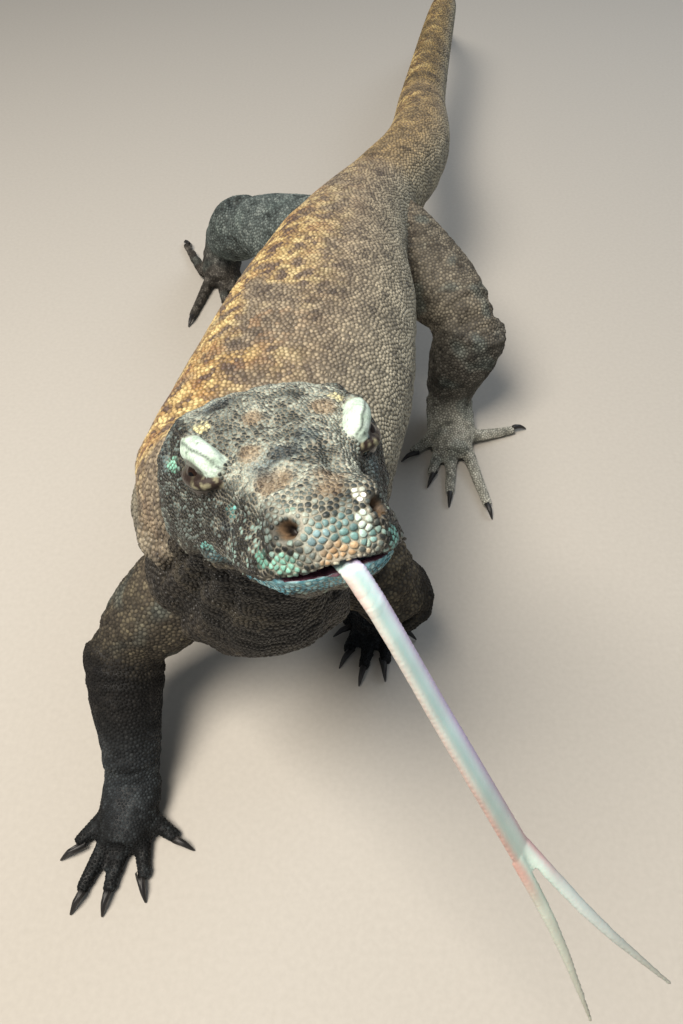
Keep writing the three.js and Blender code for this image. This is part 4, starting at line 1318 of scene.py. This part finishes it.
# %% Shaping and colouring the tongue
tongue, tongue_faces = remeshed([solids["tongue"]], 1.1 * MM)
tongue = smoothed(tongue, tongue_faces, 3, 0.5)
mouth_end = tongue[to_head(tongue)[:, 1].argmin()]
tip = tongue[np.linalg.norm(tongue - mouth_end, axis=1).argmax()]
run = tip - mouth_end
run_length = np.linalg.norm(run)
out = (tongue - mouth_end) @ run / run_length**2
BINS = 60
slot_of = np.clip((out * BINS).astype(int), 0, BINS - 1)
middle_line = np.array([tongue[slot_of == k].mean(0) for k in range(BINS)])
middle_line = averaged(middle_line, links(BINS), 3)
sideways = unit(np.cross(run, UP))
across = ((tongue - middle_line[slot_of]) @ sideways) / (7.5 * MM)
single = 1 - step(out, 0.62, 0.72)
groove = crease(across, 0.4) * single
tongue = tongue - normals_of(tongue, tongue_faces) * (0.5 * groove * MM)[:, None]
# %% The tongue's colours
# the pale lilac band between the lilac edge and the blue middle is partly a painted highlight
BANDS = [(-1.0, "#9d87bd"), (-0.55, "#c6bbd9"), (-0.15, "#cadfe4"), (0.2, "#bcdcd9"), (0.6, "#d6dcd4"),
         (1.0, "#b98d83")]
spots = [where for where, _ in BANDS]
tints = np.array([linear(code) for _, code in BANDS])
pale = np.stack([np.interp(across, spots, tints[:, k]) for k in range(3)], axis=1)
far_end = mixed(flat("#c3d3c6", tongue), flat("#c9a79c", tongue), step(np.abs(across), 0.4, 0.9) * single)
pale = mixed(pale, far_end, 0.8 * step(out, 0.3, 0.62))
pale = mixed(pale, flat("#98978a", tongue), 0.75 * step(out, 0.72, 0.98))
pale *= (0.95 + 0.05 * mottle(tongue, 12 * MM, 23))[:, None]
wet_tongue = piece_from("wet_tongue", tongue, tongue_faces)
store_colour(wet_tongue, np.clip(pale, 0, 0.9))

# %% Wet flesh
tongue_flesh, tree, surface = new_material("wet_tongue_flesh")
spot = add(tree, "TexCoord").outputs["Object"]
marking = add(tree, "Attribute", attribute_name="marking").outputs["Color"]
grain = add(tree, "TexNoise", {"Vector": spot, "Scale": 1 / (1.6 * MM), "Detail": 3.0}).outputs["Fac"]
rough = add(tree, "MapRange", {"Value": grain, "To Min": 0.22, "To Max": 0.42}).outputs["Result"]
bump = add(tree, "Bump", {"Height": grain, "Strength": 0.4, "Distance": 0.2 * MM}).outputs["Normal"]
shader = add(tree, "BsdfPrincipled", {"Base Color": marking, "Roughness": rough, "IOR": 1.4, "Normal": bump,
                                      "Subsurface Weight": 0.15, "Subsurface Radius": (1.0, 0.5, 0.4),
                                      "Subsurface Scale": 1.5 * MM})
tree.links.new(shader.outputs["BSDF"], surface)
wet_tongue.data.materials.append(tongue_flesh)
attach(wet_tongue, "root")
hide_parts("tongue")
print("tongue", round(run_length, 3), "m long")

# %% [markdown]
# ## Floor, light and camera
# The floor is a sheet of pale matt card. One large soft lamp hangs high on the left and in front,
# a weaker one fills from the right, and a dim even sky keeps the shadows open. The camera looks
# down on the head from just in front of it, so the head is near and large and the tail far off.

# %% The floor
FLOOR_SIZE = 16
card, tree, surface = new_material("matt_card")
spot = add(tree, "TexCoord").outputs["Object"]
# card's fibres are finer than this; they are drawn coarser so that they show from above
fibre = add(tree, "TexNoise", {"Vector": spot, "Scale": 1 / (6.25 * MM), "Detail": 3.0}).outputs["Fac"]
tint = add(tree, "ValToRGB", {"Fac": fibre})
tint.color_ramp.elements[0].color = paint("#b3aea5")
tint.color_ramp.elements[1].color = paint("#bfbab1")
bump = add(tree, "Bump", {"Height": fibre, "Strength": 0.1, "Distance": 0.3 * MM}).outputs["Normal"]
shader = add(tree, "BsdfPrincipled", {"Base Color": tint.outputs["Color"], "Roughness": 0.9, "Normal": bump})
tree.links.new(shader.outputs["BSDF"], surface)
reach = FLOOR_SIZE / 2
corners = np.array([(-reach, -reach, 0), (reach, -reach, 0), (reach, reach, 0), (-reach, reach, 0)])
floor = piece_from("floor", corners, np.array([[0, 1, 2, 3]]))
floor.data.materials.append(card)

# %% Lights
head_middle = Vector(head_origin)


def soft_lamp(name, place, target, side, watts, code):
    """A square area lamp aimed at a point."""
    data = bpy.data.lights.new(name, "AREA")
    data.size, data.energy, data.color = side, watts, linear(code)
    lamp = bpy.data.objects.new(name, data)
    bpy.context.scene.collection.objects.link(lamp)
    lamp.location = place
    lamp.rotation_euler = (Vector(target) - Vector(place)).to_track_quat("-Z", "Y").to_euler()
    return lamp


soft_lamp("key_lamp", (-0.9, -1.5, 2.7), (0, -0.6, 0.2), 1.3, 125, "#fff6ea")
soft_lamp("fill_lamp", (1.6, 1.2, 2.4), (0, -0.2, 0.2), 1.6, 26, "#e3eefc")
sky = bpy.data.worlds.new("studio_sky")
sky.use_nodes = True
sky.node_tree.nodes["Background"].inputs["Color"].default_value = paint("#dfe6ee")
sky.node_tree.nodes["Background"].inputs["Strength"].default_value = 0.25
bpy.context.scene.world = sky
bpy.context.scene.view_settings.view_transform = "Standard"  # colours come out as they were picked

# %% The camera
FROM_HEAD = Vector((0.0290, -0.2730, 0.2805))  # the camera's place from the middle of the eyes
LOOKING_DOWN = math.radians(50.5)
camera = bpy.data.objects.new("camera", bpy.data.cameras.new("camera"))
bpy.context.scene.collection.objects.link(camera)
camera.location = head_middle + FROM_HEAD
camera.rotation_euler = (math.radians(90) - LOOKING_DOWN, 0, 0)
camera.data.lens = 28.125
camera.data.sensor_width = 36
camera.data.clip_start = 0.01
bpy.context.scene.camera = camera
print("camera at", [round(v, 4) for v in camera.location])
